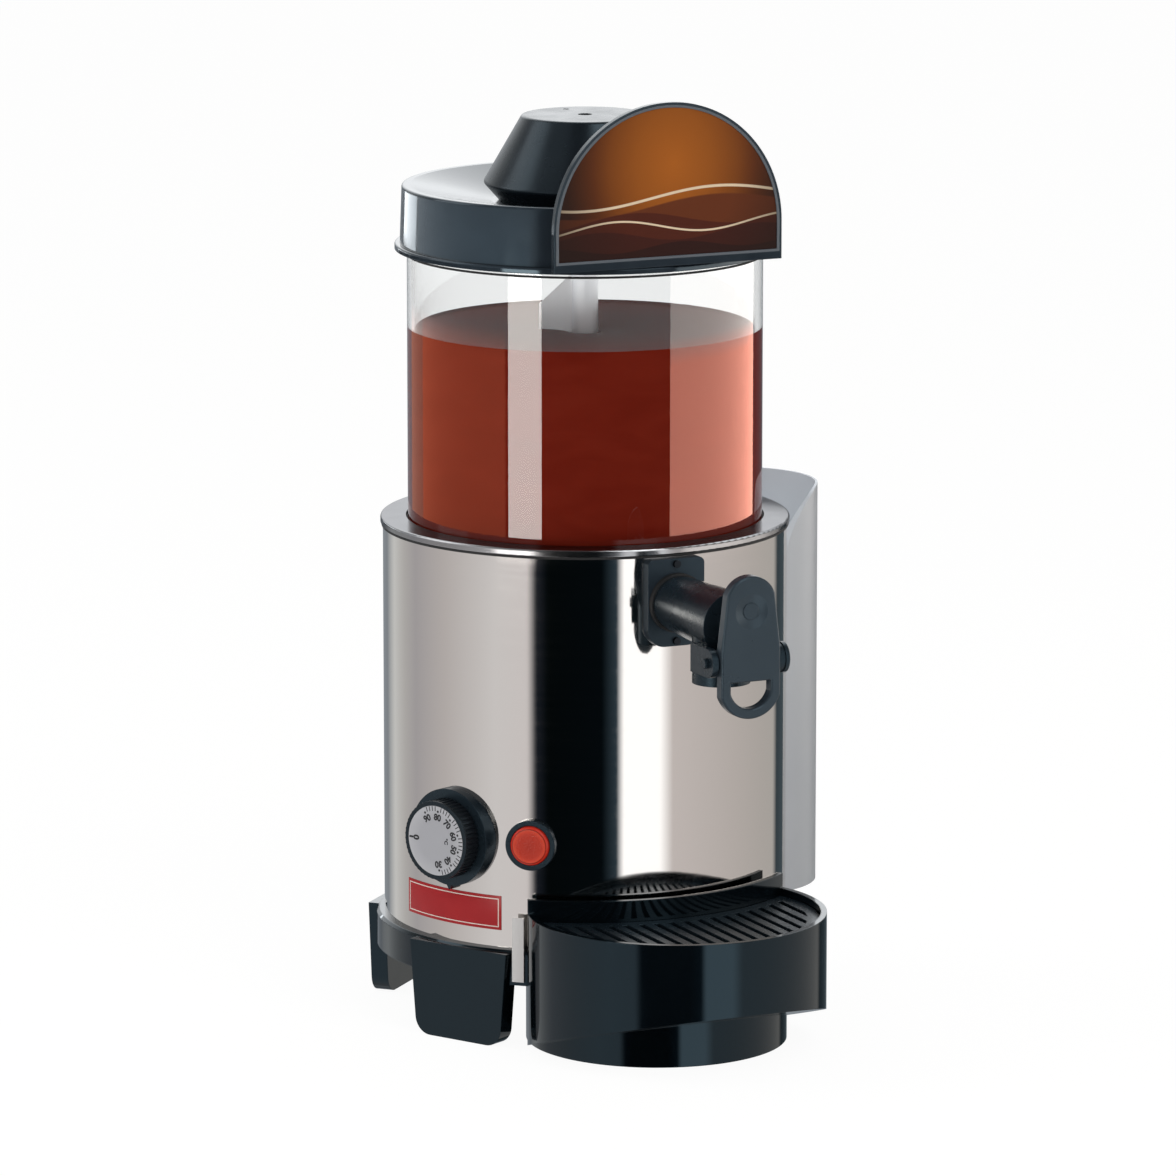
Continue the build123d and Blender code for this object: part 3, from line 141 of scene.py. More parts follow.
def finish(name):
    """A new finish: its material, its tree, its surface shader and the object's own coordinates."""
    made = bpy.data.materials.new(name)
    made.use_nodes = True
    tree = made.node_tree
    tree.nodes.clear()
    surface = node(tree, "ShaderNodeBsdfPrincipled")
    node(tree, "ShaderNodeOutputMaterial", {"Surface": surface.outputs["BSDF"]})
    place = node(tree, "ShaderNodeTexCoord").outputs["Object"]
    return made, tree, surface, place


def per_mm(size):
    """The Scale of a texture whose features are that many millimetres across, in a frame in metres."""
    return 1.0 / (size * MM)


def paint(made, *names):
    """Gives CAD solids a finish."""
    for name in names:
        slots = nodes[name].data.materials
        slots.clear()
        slots.append(made)
    print("finish", made.name, "on", ", ".join(names))


# %% [markdown]
# ## Short ways to common nodes
# Sums, ranges, noise and mixes come up in nearly every finish. Each has a small function here that adds its
# node and gives back the output that the next node takes.


# %% Sums and ranges
def calc(tree, operation, *values):
    """A sum on numbers."""
    return node(tree, "ShaderNodeMath", dict(enumerate(values)), operation=operation).outputs[0]


def calc_vector(tree, operation, *values):
    """A sum on vectors, which for a length, a distance or a dot product gives a number."""
    made = node(tree, "ShaderNodeVectorMath", dict(enumerate(values)), operation=operation)
    return made.outputs["Value" if operation in ("LENGTH", "DISTANCE", "DOT_PRODUCT") else "Vector"]


def spread(tree, value, from_low, from_high, to_low=0.0, to_high=1.0):
    """Carries a value from one range to another, and keeps it inside that."""
    ends = {"From Min": from_low, "From Max": from_high, "To Min": to_low, "To Max": to_high}
    return node(tree, "ShaderNodeMapRange", {"Value": value, **ends}).outputs["Result"]


def rise_of(tree, spot):
    """The height of a spot or a direction."""
    return node(tree, "ShaderNodeSeparateXYZ", {0: spot}).outputs["Z"]


def compass_of(tree, spot):
    """The compass angle of a spot or a direction, in radians: 0 is the front, positive to its right."""
    steps = node(tree, "ShaderNodeSeparateXYZ", {0: spot})
    forward = calc(tree, "MULTIPLY", steps.outputs["Y"], -1.0)
    return calc(tree, "ARCTAN2", steps.outputs["X"], forward)


# %% Textures, mixes and relief
# Nearly all of a noise texture's values lie between these.
NOISE_LOW, NOISE_HIGH = 0.3, 0.7


def noise(tree, place, scale, detail, distortion=0.0):
    """A noise texture's value."""
    inputs = {"Vector": place, "Scale": scale, "Detail": detail, "Distortion": distortion}
    return node(tree, "ShaderNodeTexNoise", inputs).outputs[0]


def blended(tree, share, first, second):
    """A colour between two others, which are inputs 6 and 7 of the Mix node."""
    return node(tree, "ShaderNodeMix", {0: share, 6: first, 7: second}, data_type="RGBA").outputs[2]


def ramp(tree, value, stops):
    """A colour that follows a value through stops, each a spot and a colour, from spot 0 to spot 1."""
    made = node(tree, "ShaderNodeValToRGB", {"Fac": value})
    elements = made.color_ramp.elements
    for spot, colour in stops[1:-1]:
        elements.new(spot).color = linear(colour)
    elements[0].color = linear(stops[0][1])
    elements[len(elements) - 1].color = linear(stops[-1][1])
    return made.outputs["Color"]


def relief(tree, height, strength, depth_mm, over=None, invert=False):
    """A normal that follows a texture's height, on top of another normal where one is given."""
    inputs = {"Strength": strength, "Distance": depth_mm * MM, "Height": height}
    if over:
        inputs["Normal"] = over
    return node(tree, "ShaderNodeBump", inputs, invert=invert).outputs["Normal"]


def mixed(tree, share, first, second):
    """A mix of two shaders."""
    return node(tree, "ShaderNodeMixShader", {0: share, 1: first, 2: second}).outputs[0]


# %% A way to choose faces or edges
def choose(kind, wanted):
    """In edit mode, selects the faces or edges whose middle, seen from the body's axis, passes a test."""
    bpy.ops.mesh.select_mode(type=kind)
    bpy.ops.mesh.select_all(action="DESELECT")
    mesh = bmesh.from_edit_mesh(bpy.context.object.data)
    for part in mesh.faces if kind == "FACE" else mesh.edges:
        middle = sum((corner.co for corner in part.verts), Vector()) / len(part.verts) - AXIS
        part.select_set(bool(wanted(middle, part)))
    mesh.select_flush_mode()
    bmesh.update_edit_mesh(bpy.context.object.data)


def bearing(spot):
    """The compass angle of a spot, seen from the body's axis: 0 is the front, positive to its right."""
    return math.degrees(math.atan2(spot.x, -spot.y))


# %% Hoops and strips
def hoop(name, corners, radius, tall, middle):
    """A new open cylinder that stands upright, with its place in its mesh."""
    bpy.ops.object.select_all(action="DESELECT")
    bpy.ops.mesh.primitive_cylinder_add(
        vertices=corners, radius=radius, depth=tall, end_fill_type="NOTHING", location=middle
    )
    made = bpy.context.object
    made.name = name
    bpy.ops.object.transform_apply(location=True, rotation=True, scale=True)
    return made


def keep_arc(first, last):
    """Deletes all of the active hoop but the faces between two compass angles."""
    bpy.ops.object.mode_set(mode="EDIT")
    choose("FACE", lambda middle, part: not first < bearing(middle) < last)
    bpy.ops.mesh.delete(type="FACE")
    bpy.ops.object.mode_set(mode="OBJECT")


def thicken(strip, thickness_mm, side, edge_mm, smooth):
    """Gives the active strip its thickness, outwards (1) or inwards (-1), round edges and smooth shading."""
    wall = strip.modifiers.new("wall", "SOLIDIFY")
    wall.thickness = thickness_mm * MM
    wall.offset = side
    edge = strip.modifiers.new("edge", "BEVEL")
    edge.width = edge_mm * MM
    edge.segments = 2
    for modifier in ("wall", "edge"):
        bpy.ops.object.modifier_apply(modifier=modifier)
    bpy.ops.object.shade_smooth_by_angle(angle=math.radians(smooth))


# %% [markdown]
# ## Floor and light
# A product picture on white has a pale floor that fades into a pale room. The floor is a real surface, so
# the machine keeps its soft shadow, but the camera sees it a little brighter than it is lit. Polished steel
# shows the studio round it: pale walls, a dark stretch where the camera stands between the lamps, and a
# bright strip beside it. Those stretches belong to the room by compass direction, and reflections look past
# the floor to find them, so that all upright walls show the same bands.

# %% Lay the floor
FLOOR_WIDE = 12.0
WHITE = linear("#ffffff")
# The camera sees nine tenths of this plain light and one tenth of the floor as it is lit. Together they
# come to a strength of 1, which is white.
PLAIN_SHARE, PLAIN_STRENGTH = 0.9, 1.05


def clear_view(tree):
    """1 for what the camera sees, also through the clear tank, and 0 for all other rays."""
    seen = node(tree, "ShaderNodeLightPath")
    return calc(tree, "MAXIMUM", seen.outputs["Is Camera Ray"], seen.outputs["Is Transmission Ray"])


bpy.ops.object.select_all(action="DESELECT")
bpy.ops.mesh.primitive_plane_add(size=FLOOR_WIDE, location=(0.0, 0.0, 0.0))
floor = bpy.context.object
floor.name = "studio_floor"
floor_finish, tree, surface, _ = finish("studio_floor")
wire(tree, surface, {"Base Color": linear("#f4f4f3"), "Roughness": 0.9, "Specular IOR Level": 0.1})
plain = node(tree, "ShaderNodeEmission", {"Color": WHITE, "Strength": PLAIN_STRENGTH})
share = calc(tree, "MULTIPLY", clear_view(tree), PLAIN_SHARE)
shown = mixed(tree, share, surface.outputs["BSDF"], plain.outputs["Emission"])
wire(tree, tree.nodes["Material Output"], {"Surface": shown})
floor.data.materials.append(floor_finish)
floor.visible_glossy = False
print("floor laid at z = 0")

# %% The studio that reflections see
# (compass angle, colour): 0 is straight in front of the machine, positive angles are to its right
STUDIO_STRETCHES = [
    (-180, "#70757a"),
    (-165, "#b4b5b4"),
    (-150, "#a2a1a0"),
    (-138, "#979597"),
    (-112, "#aaa6a5"),
    (-78, "#c0bebe"),
    (-58, "#c0bcbc"),
    (-53, "#171b22"),
    (-46, "#030607"),
    (-15, "#04080b"),
    (-7, "#28343c"),
    (-3, "#ffffff"),
    (18, "#ffffff"),
    (26, "#b8b2b0"),
    (72, "#aaa5a2"),
    (112, "#9c9995"),
    (118, "#2f383d"),
    (138, "#3c464b"),
    (150, "#70757a"),
    (180, "#70757a"),
]
STUDIO_BRIGHTNESS = 1.65
# High up the walls are dimmer: from one rise to the other they fall to this share of their brightness. A
# rise here is the height of a direction that is 1 long.
DIM_FROM, DIM_TO, DIM_SHARE = 0.15, 0.5, 0.45
# Behind the machine the backdrop is lit for the picture. Its light begins and is full where a direction is
# this close to the direction of its middle; 1 is the same direction.
BACKDROP_MIDDLE = (0.34, 0.73, 0.59)
BACKDROP_FROM, BACKDROP_FULL, BACKDROP_BRIGHTNESS = 0.74, 0.9, 1.75

room = bpy.data.worlds.new("studio_room")
bpy.context.scene.world = room
room.use_nodes = True
tree = room.node_tree
tree.nodes.clear()
outward = node(tree, "ShaderNodeTexCoord").outputs["Generated"]
turn = spread(tree, compass_of(tree, outward), -math.pi, math.pi)
walls = ramp(tree, turn, [((angle + 180) / 360, colour) for angle, colour in STUDIO_STRETCHES])
dimmed = STUDIO_BRIGHTNESS * DIM_SHARE
brightness = spread(tree, rise_of(tree, outward), DIM_FROM, DIM_TO, STUDIO_BRIGHTNESS, dimmed)
behind = calc_vector(tree, "DOT_PRODUCT", outward, BACKDROP_MIDDLE)
back_light = spread(tree, behind, BACKDROP_FROM, BACKDROP_FULL, 0.0, BACKDROP_BRIGHTNESS)
print("studio with", len(STUDIO_STRETCHES), "stretches")

# %% Light the room
FILL_COLOUR, FILL_BRIGHTNESS = (1.0, 0.995, 0.985, 1.0), 0.42


def room_light(tree, colour, strength):
    """One of the lights that the room is made of."""
    return node(tree, "ShaderNodeBackground", {"Color": colour, "Strength": strength}).outputs[0]


lit_walls, lit_backdrop = room_light(tree, walls, brightness), room_light(tree, WHITE, back_light)
reflected = node(tree, "ShaderNodeAddShader", {0: lit_walls, 1: lit_backdrop}).outputs[0]
fill = room_light(tree, FILL_COLOUR, FILL_BRIGHTNESS)
lit = mixed(tree, node(tree, "ShaderNodeLightPath").outputs["Is Glossy Ray"], fill, reflected)
shown = mixed(tree, clear_view(tree), lit, room_light(tree, WHITE, 1.0))
node(tree, "ShaderNodeOutputWorld", {"Surface": shown})
print("room lit")

# %% Hang the lamps
LAMP_DISTANCE = 2.4


def softbox(name, azimuth, elevation, width, height, watts):
    """A rectangular lamp on a sphere round the machine's middle, turned to face it."""
    lamp_data = bpy.data.lights.new(name, "AREA")
    lamp_data.shape = "RECTANGLE"
    lamp_data.size = width
    lamp_data.size_y = height
    lamp_data.energy = watts
    lamp = bpy.data.objects.new(name, lamp_data)
    lamp.visible_camera = False
    lamp.visible_transmission = False
    stand(lamp, LOOK_AT, toward(azimuth, elevation), LAMP_DISTANCE)
    print("lamp", name, "at", [round(value, 2) for value in lamp.location])
    return lamp


# Name, compass angle, rise, width, height and watts
softbox("top_softbox", 8.0, 42.0, 1.0, 1.4, 12.0)
softbox("back_left_softbox", -120.0, 30.0, 1.2, 1.6, 10.0)
# The steel ring throws light onto the inside of the filler pocket. A lamp that only the pocket sees stands
# for it, because such light is slow to trace.
thrown = softbox("ring_bounce", -75.0, 35.0, 1.0, 1.0, 110.0)
thrown.visible_glossy = False
pocket_only = bpy.data.collections.new("pocket_only")
pocket_only.objects.link(nodes["filler_pocket"])
thrown.light_linking.receiver_collection = pocket_only
thrown.light_linking.blocker_collection = pocket_only

# %% [markdown]
# ## Light panels and a dark curtain
# A clear tank would show the whole bright room as a grey veil over the drink. Photographers stand dark card
# where only the tank can see it, which keeps the drink's colour deep, and bright panels beside it, which the
# tank's wall shows as clean upright stripes. Two warm cards give the tank its glow at the sides: a painted
# warm reflection that only the tank's wall shows, below the drink's level. Two panels light the lid. All of
# them are bands cut from open cylinders round the machine, so that their edges stay level in the round wall.
# The camera never sees them.

# %% A band round the machine
BAND_CORNERS = 180
# The heights on a band between which its foot ends, and between which the tank's wall finds the drink's level
FOOT_FROM, FOOT_TO = 0.03, 0.05
LEVEL_FROM, LEVEL_TO = 0.135, 0.152


def band(name, first, last, low, high, radius, colour, brightness, painted_reflection_below, lights_all):
    """A staged upright band round the machine, between two compass angles and two heights."""
    made = hoop(name, BAND_CORNERS, radius, high - low, AXIS + Vector((0.0, 0.0, (low + high) / 2)))
    keep_arc(first, last)
    cover, tree, surface, place = finish(name)
    rise = rise_of(tree, place)
    sharp = node(tree, "ShaderNodeLightPath").outputs["Is Singular Ray"]
    glow = linear(colour)
    if painted_reflection_below:
        # The tank's wall shows the lower colour below the drink's level, a painted warm reflection that stands
        # in for light coming back through the drink. Steel and black plastic show the other one.
        below = spread(tree, rise, LEVEL_FROM, LEVEL_TO, 1.0, 0.0)
        glow = blended(tree, calc(tree, "MULTIPLY", below, sharp), glow, linear(painted_reflection_below))
    wire(tree, surface, {
        "Base Color": linear("#0c0d10"),
        "Roughness": 0.9,
        "Specular IOR Level": 0.1,
        "Emission Color": glow,
        "Emission Strength": brightness,
    })
    # The foot is there for the tank's faultless wall alone. The rougher jacket sees the room past it.
    foot = spread(tree, rise, FOOT_FROM, FOOT_TO, 1.0, 0.0)
    gone = calc(tree, "MULTIPLY", foot, calc(tree, "SUBTRACT", 1.0, sharp))
    open_air = node(tree, "ShaderNodeBsdfTransparent")
    shown = mixed(tree, gone, surface.outputs["BSDF"], open_air.outputs["BSDF"])
    wire(tree, tree.nodes["Material Output"], {"Surface": shown})
    made.data.materials.append(cover)
    made.visible_camera = False
    made.visible_transmission = False
    made.visible_shadow = False
    made.visible_diffuse = lights_all
    print(name, "from", first, "to", last, "degrees")


# %% Stand the panels and the curtain
# (name, from and to in degrees, foot, top and radius in metres, colour, brightness, colour of the painted
# warm reflection that the tank shows below the drink's level, whether it also lights what is not shiny)
BANDS = [
    ("dark_curtain", -173.0, 30.0, -0.006, 0.21, 1.42, "#000000", 0.0, None, False),
    ("left_light_panel", -74.0, -52.0, 0.012, 0.25, 1.3, "#fffaf4", 8.5, None, True),
    # The tank's wall shows a painted warm reflection on each side, below the drink's level, which stands in
    # for light that has passed through the drink and comes back to it.
    ("right_light_panel", 31.0, 112.0, 0.012, 0.25, 1.3, "#bcb5af", 5.8, "#ffaf99", True),
    ("left_warm_card", -151.0, -75.0, -0.002, 0.21, 1.35, "#000000", 1.4, "#ff8b67", False),
    ("edge_warm_card", -173.0, -151.0, -0.006, 0.21, 1.35, "#000000", 0.75, "#ffbea6", False),
    # Two more stand just above the curtain, where only the lid's drum finds them.
    ("lid_light_panel", -150.0, -58.0, 0.215, 0.3, 1.36, "#dfe6ec", 1.5, None, False),
    ("lid_edge_panel", -176.0, -151.0, 0.215, 0.3, 1.36, "#eef2f5", 5.0, None, False),
]
for row in BANDS:
    band(*row)

# %% [markdown]
# ## Moulded plastics
# The base, the lid, the tap and the tray are black ABS, moulded in polished tools: deep and glossy, with a
# faint grain, smears where hands and cloths have been, and edges that are never quite sharp. One function
# builds all such plastics, because only their colours, gloss and grain differ. The Bevel node rounds the
# shading along edges, so that they catch a thin line of light as moulded edges do.

# %% A moulded plastic
CLOUD_MM, SMEAR_MM = 55, 14
GRAIN_STRENGTH = 0.35
# Black plastic mirrors the room a little colder than it is; where it is rubbed or slate, less so.
COLD_SHEEN, PALE_SHEEN = "#a2c6da", "#b4d0e0"


def moulded(name, dark, light, rough, grain_depth_mm, grain_mm=0.8, edge_mm=0.6, sheen="#ffffff", shine=0.5):
    """A plastic of two close tints, with a range of roughness, a grain and softened edges."""
    made, tree, surface, place = finish(name)
    cloud = noise(tree, place, per_mm(CLOUD_MM), detail=3.0)
    smear = noise(tree, place, per_mm(SMEAR_MM), detail=5.0)
    grain = noise(tree, place, per_mm(grain_mm), detail=2.0)
    rounded = node(tree, "ShaderNodeBevel", {"Radius": edge_mm * MM}, samples=4).outputs["Normal"]
    wire(tree, surface, {
        "Base Color": blended(tree, cloud, linear(dark), linear(light)),
        "Roughness": spread(tree, smear, NOISE_LOW, NOISE_HIGH, *rough),
        "Normal": relief(tree, grain, GRAIN_STRENGTH, grain_depth_mm, over=rounded),
        "IOR": 1.54,
        "Specular Tint": linear(sheen),
        "Specular IOR Level": shine,
    })
    return made


# %% Paint the plastics
# Polished black ABS: the grain of about 0.3 mm is drawn at 0.8 mm, as fine as the picture can show.
gloss_black = moulded(
    "gloss_black_abs", "#04080b", "#0a1015", (0.05, 0.1), 0.003, sheen=COLD_SHEEN, shine=0.55
)
paint(gloss_black, "base_moulding", "drip_tray")
# The lid and the sign's frame are a slate black, polished as well. The lid's hub is its grip, so it is dull.
slate_black = moulded("slate_black_abs", "#232a31", "#2c343c", (0.07, 0.13), 0.003, sheen=PALE_SHEEN)
paint(slate_black, "lid_shell", "sign_frame")
slate_satin = moulded("slate_black_satin_abs", "#151a1f", "#1f252b", (0.22, 0.3), 0.012, sheen=PALE_SHEEN)
paint(slate_satin, "lid_hub")
# The tap's mouldings are handled all day, so they are duller.
satin_black = moulded("satin_black_abs", "#141c22", "#1d262d", (0.22, 0.32), 0.006, sheen=COLD_SHEEN)
paint(satin_black, "tap_barrel", "pivot_pin", "drip_grid", "dial_bezel", "switch_housing", "switch_nut")
paint(satin_black, "cord_gland", "gland_nut")
# The lever is a paler copy of the tap's black: painted light, for the lever catches more light than the rest
# of the tap.
painted_lit_black = moulded("painted_lit_black_abs", "#262e35", "#343d45", (0.26, 0.36), 0.008, sheen=PALE_SHEEN)
paint(painted_lit_black, "tap_lever")
knob_black = moulded(
    "knurled_black_phenolic", "#101215", "#1a1c20", (0.3, 0.42), 0.015, edge_mm=0.25, sheen=COLD_SHEEN
)
paint(knob_black, "knob")
slate_grey = moulded("slate_grey_abs", "#4a525a", "#59626b", (0.28, 0.4), 0.015)
paint(slate_grey, "sign_bezel")
dark_grey = moulded("dark_grey_nylon", "#1f262d", "#2b333b", (0.34, 0.46), 0.02, sheen="#a6c8dc")
paint(dark_grey, "tap_bracket", "drive_cap", "shaft_bushes", "tap_plunger")
ivory = moulded("ivory_phenolic", "#b9b2a2", "#c7c1b3", (0.4, 0.52), 0.02, grain_mm=1.0)
paint(ivory, "thermostat_body")
black_rubber = moulded("black_nitrile_rubber", "#151617", "#202123", (0.62, 0.78), 0.03, grain_mm=0.9)
paint(black_rubber, "ring_gasket", "tank_seal", "tank_washer", "neck_seal", "tap_gasket", "plunger_seal")

# %% [markdown]
# ## Metals
# The jacket is stainless sheet polished to a mirror: its colour is nearly all reflection, a little warm, and
# the rolled sheet is never perfectly true, so reflections waver. The small steel pieces are satin, drawn or
# brushed along their length, which the eye reads as fine streaks. A metal has its colour and, for what it
# mirrors at a glancing angle, a tint.


# %% A metal
def metal(name, colour, rough, streak_mm, wave_mm, wave_depth_mm, glancing="#ffffff"):
    """A metal with a colour, a range of roughness, streaks (across, up) and a faint waviness."""
    made, tree, surface, place = finish(name)
    across, up = (per_mm(size) for size in streak_mm)
    stretched = node(tree, "ShaderNodeMapping", {"Vector": place, "Scale": (across, across, up)})
    streaks = noise(tree, stretched.outputs[0], 1.0, detail=4.0)
    wave = noise(tree, place, per_mm(wave_mm), detail=1.0)
    wire(tree, surface, {
        "Base Color": linear(colour),
        "Metallic": 1.0,
        "Roughness": spread(tree, streaks, NOISE_LOW, NOISE_HIGH, *rough),
        "Normal": relief(tree, wave, 1.0, wave_depth_mm),
        "Specular Tint": linear(glancing),
    })
    return made


# %% Paint the metals
# Mirror-polished stainless: polishing smears run round the jacket, about 3 mm high and 40 mm long.
mirror_steel = metal("mirror_polished_stainless", "#d1cecb", (0.03, 0.07), (40.0, 3.0), 70.0, 0.04)
paint(mirror_steel, "body_shell")
# The ring on top is the same sheet as it was rolled, duller and darker than the polished jacket.
rolled_steel = metal(
    "rolled_stainless", "#a9aaac", (0.12, 0.2), (12.0, 12.0), 70.0, 0.04, glancing="#b3b3b4"
)
paint(rolled_steel, "top_ring")
# Drawn and brushed stainless: the real lines are under 0.1 mm apart and are drawn at 0.5 mm to show.
satin_steel = metal("satin_stainless", "#c3c4c3", (0.2, 0.25), (0.5, 30.0), 40.0, 0.004)
paint(satin_steel, "tray_guides", "floor_plate", "water_bath", "heating_element", "centre_column")
paint(satin_steel, "drive_shaft", "output_shaft", "filler_duct", "motor_bracket", "thermostat_spindle")
paint(satin_steel, "tap_spring", "bulb_clip")
zinc_steel = metal("zinc_plated_steel", "#b4b6b8", (0.26, 0.4), (2.0, 2.0), 6.0, 0.01)
paint(zinc_steel, "floor_screws", "jacket_screws", "element_nuts", "column_nuts", "hub_screws")
paint(zinc_steel, "sign_screws", "shaft_coupling")
black_steel = metal("black_oxide_steel", "#2b2f34", (0.34, 0.46), (1.5, 1.5), 6.0, 0.01)
paint(black_steel, "bracket_screws")
cast_alloy = metal("cast_aluminium", "#a9abad", (0.42, 0.56), (1.2, 1.2), 1.5, 0.04)
paint(cast_alloy, "gearbox", "motor")
copper = metal("drawn_copper", "#b8794f", (0.22, 0.36), (0.6, 6.0), 10.0, 0.01)
paint(copper, "thermostat_bulb")

# %% Polish the stirrer's tube and blast its blades
# The tube is polished and the blades are bead-blasted: the tube is all that lies within 7.5 mm of the axis,
# which is measured flat, without the height.
TUBE_END, BLADE_START = 7.2 * MM, 7.8 * MM
TUBE_ROUGHNESS, BLADE_ROUGHNESS = 0.3, 0.45

stirrer_steel, tree, surface, place = finish("polished_and_blasted_stainless")
flat = calc_vector(tree, "MULTIPLY", place, (1.0, 1.0, 0.0))
from_axis = calc_vector(tree, "DISTANCE", flat, AXIS)
wave = noise(tree, place, per_mm(40.0), detail=1.0)
wire(tree, surface, {
    "Base Color": linear("#f8fafd"),
    "Metallic": 0.85,
    "Roughness": spread(tree, from_axis, TUBE_END, BLADE_START, TUBE_ROUGHNESS, BLADE_ROUGHNESS),
    "Normal": relief(tree, wave, 1.0, 0.004),
})
paint(stirrer_steel, "stirrer")

# %% [markdown]
# ## Painted sheet, clear tank and red lens
# The filler pocket is steel sheet with a silver-grey powder coat: fine orange peel, half matt. The tank is
# clear polycarbonate, so it is given transmission and its real index of refraction, and its walls are real
# solids that bend the light by themselves. The push button's cap is a red lens moulded with a fine stipple
# on its face, lit from inside, so a little of its own light is added.

# %% Powder-coated sheet
pocket_grey, tree, surface, place = finish("silver_grey_powder_coat")
cloud = noise(tree, place, per_mm(70), detail=3.0)
# Orange peel on a powder coat is about 1 mm from hill to hill.
peel = noise(tree, place, per_mm(1.1), detail=2.0)
wire(tree, surface, {
    "Base Color": blended(tree, cloud, linear("#969ba1"), linear("#a2a7ac")),
    "Metallic": 0.35,
    "Roughness": 0.42,
    "Normal": relief(tree, peel, 0.3, 0.03),
})
paint(pocket_grey, "filler_pocket", "pocket_floor")

# %% Clear polycarbonate
clear_tank, tree, surface, _ = finish("clear_polycarbonate")
# A moulded and polished tank is smooth to well under a micron, so its roughness is nothing at all.
wire(
    tree,
    surface,
    {"Base Color": linear("#fdfefe"), "Roughness": 0.0, "IOR": 1.585, "Transmission Weight": 1.0},
)
paint(clear_tank, "tank")
# Light reaches the drink straight through the wall, as it does through clear plastic.
nodes["tank"].visible_shadow = False
nodes["tank"].visible_diffuse = False


# %% Red lens
def joint_axis(name):
    """The axis of one of the machine's joints."""
    return Vector(next(joint["axis"] for joint in frame["joints"] if joint["name"] == name))


# The lens is painted lighter in a ring near its edge, a painted highlight where its rim catches light, with a
# thin painted shadow just outside it where the face turns into its side: (share of its radius, colour), from
# the button's own axis out.
LENS_LIGHT_AND_SHADE_RINGS = [
    (0.0, "#a52c1c"),
    (0.62, "#b33220"),
    (0.78, "#c63d26"),
    (0.84, "#c44028"),
    (0.88, "#6c150d"),
    (0.92, "#c23222"),
    (1.0, "#b92a1c"),
]
button_low, button_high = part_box("switch_button")
button_middle = (button_low + button_high) / 2
button_radius = (button_high.z - button_low.z) / 2

red_lens, tree, surface, place = finish("lit_red_acrylic")
from_middle = calc_vector(tree, "SUBTRACT", place, button_middle)
off_axis = calc_vector(tree, "CROSS_PRODUCT", from_middle, joint_axis("button_press"))
across = spread(tree, calc_vector(tree, "LENGTH", off_axis), 0.0, button_radius)
# Painted highlight and shadow rings; the lens's own light follows them as well.
painted_rings = ramp(tree, across, LENS_LIGHT_AND_SHADE_RINGS)
# The stipple is a net of 0.9 mm pips.
pips = node(tree, "ShaderNodeTexVoronoi", {"Vector": place, "Scale": per_mm(0.9)})
wire(tree, surface, {
    "Base Color": painted_rings,
    "Roughness": 0.22,
    "IOR": 1.49,
    "Specular IOR Level": 0.3,
    "Subsurface Weight": 0.15,
    "Subsurface Radius": (0.002, 0.0006, 0.0005),
    "Emission Color": painted_rings,
    "Emission Strength": 0.15,
    "Normal": relief(tree, pips.outputs["Distance"], 0.6, 0.12, invert=True),
})
paint(red_lens, "switch_button")

# %% [markdown]
# ## The sign's print
# The sign is a printed plastic panel behind a thin bezel. The print here is a plain one: a warm glow of
# caramel that darkens to the edges, with slow waves of melted chocolate along the bottom and two thin cream
# lines that follow them. It is worked out from the panel's own box: u runs from -1 to 1 across it and v from
# 0 to 1 up it. Each wave is a sine curve, and everything below it takes the wave's colour.

# %% Find places on the sign
sign_low, sign_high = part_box("sign_panel")
sign_middle = (sign_low + sign_high) / 2
sign_half = (sign_high.x - sign_low.x) / 2
sign_tall = sign_high.z - sign_low.z
sign_print, tree, surface, place = finish("printed_polystyrene")
to_panel = node(
    tree,
    "ShaderNodeMapping",
    {
        "Vector": place,
        "Location": (-sign_middle.x / sign_half, 0.0, -sign_low.z / sign_tall),
        "Scale": (1.0 / sign_half, 1.0, 1.0 / sign_tall),
    },
)
panel = node(tree, "ShaderNodeSeparateXYZ", {0: to_panel.outputs[0]})
u, v = panel.outputs["X"], panel.outputs["Z"]


def crest(height, swing, pace, start):
    """How high above the sign's foot a wave runs."""
    curve = calc(tree, "SINE", calc(tree, "MULTIPLY_ADD", u, pace, start))
    return calc(tree, "MULTIPLY_ADD", curve, swing, height)


# %% Print the sign
GLOW_MIDDLE = (0.05, 0.0, 0.62)
GLOW = [(0.0, "#ae601b"), (0.35, "#985317"), (0.75, "#602e0c"), (1.0, "#331606")]
# (height, swing, pace and start of the sine in radians, softness, colour), from the back wave to the front one
CHOCOLATE_WAVES = [
    (0.345, 0.060, 2.6, 0.4, 0.010, "#642f13"),
    (0.255, 0.052, 3.4, 2.6, 0.008, "#4d1d0d"),
    (0.150, 0.040, 4.3, 4.3, 0.008, "#3c140a"),
    (0.070, 0.028, 5.2, 0.9, 0.008, "#2a0c06"),
]
# (height, swing, pace and start of the sine in radians, half-thickness)
CREAM_LINES = [(0.395, 0.060, 2.6, 0.4, 0.007), (0.205, 0.046, 3.9, 3.4, 0.005)]
LINE_BLUR = 1.6
CORNERS_FROM, CORNERS_TO, CORNERS_SHADE = 0.6, 1.15, 0.75

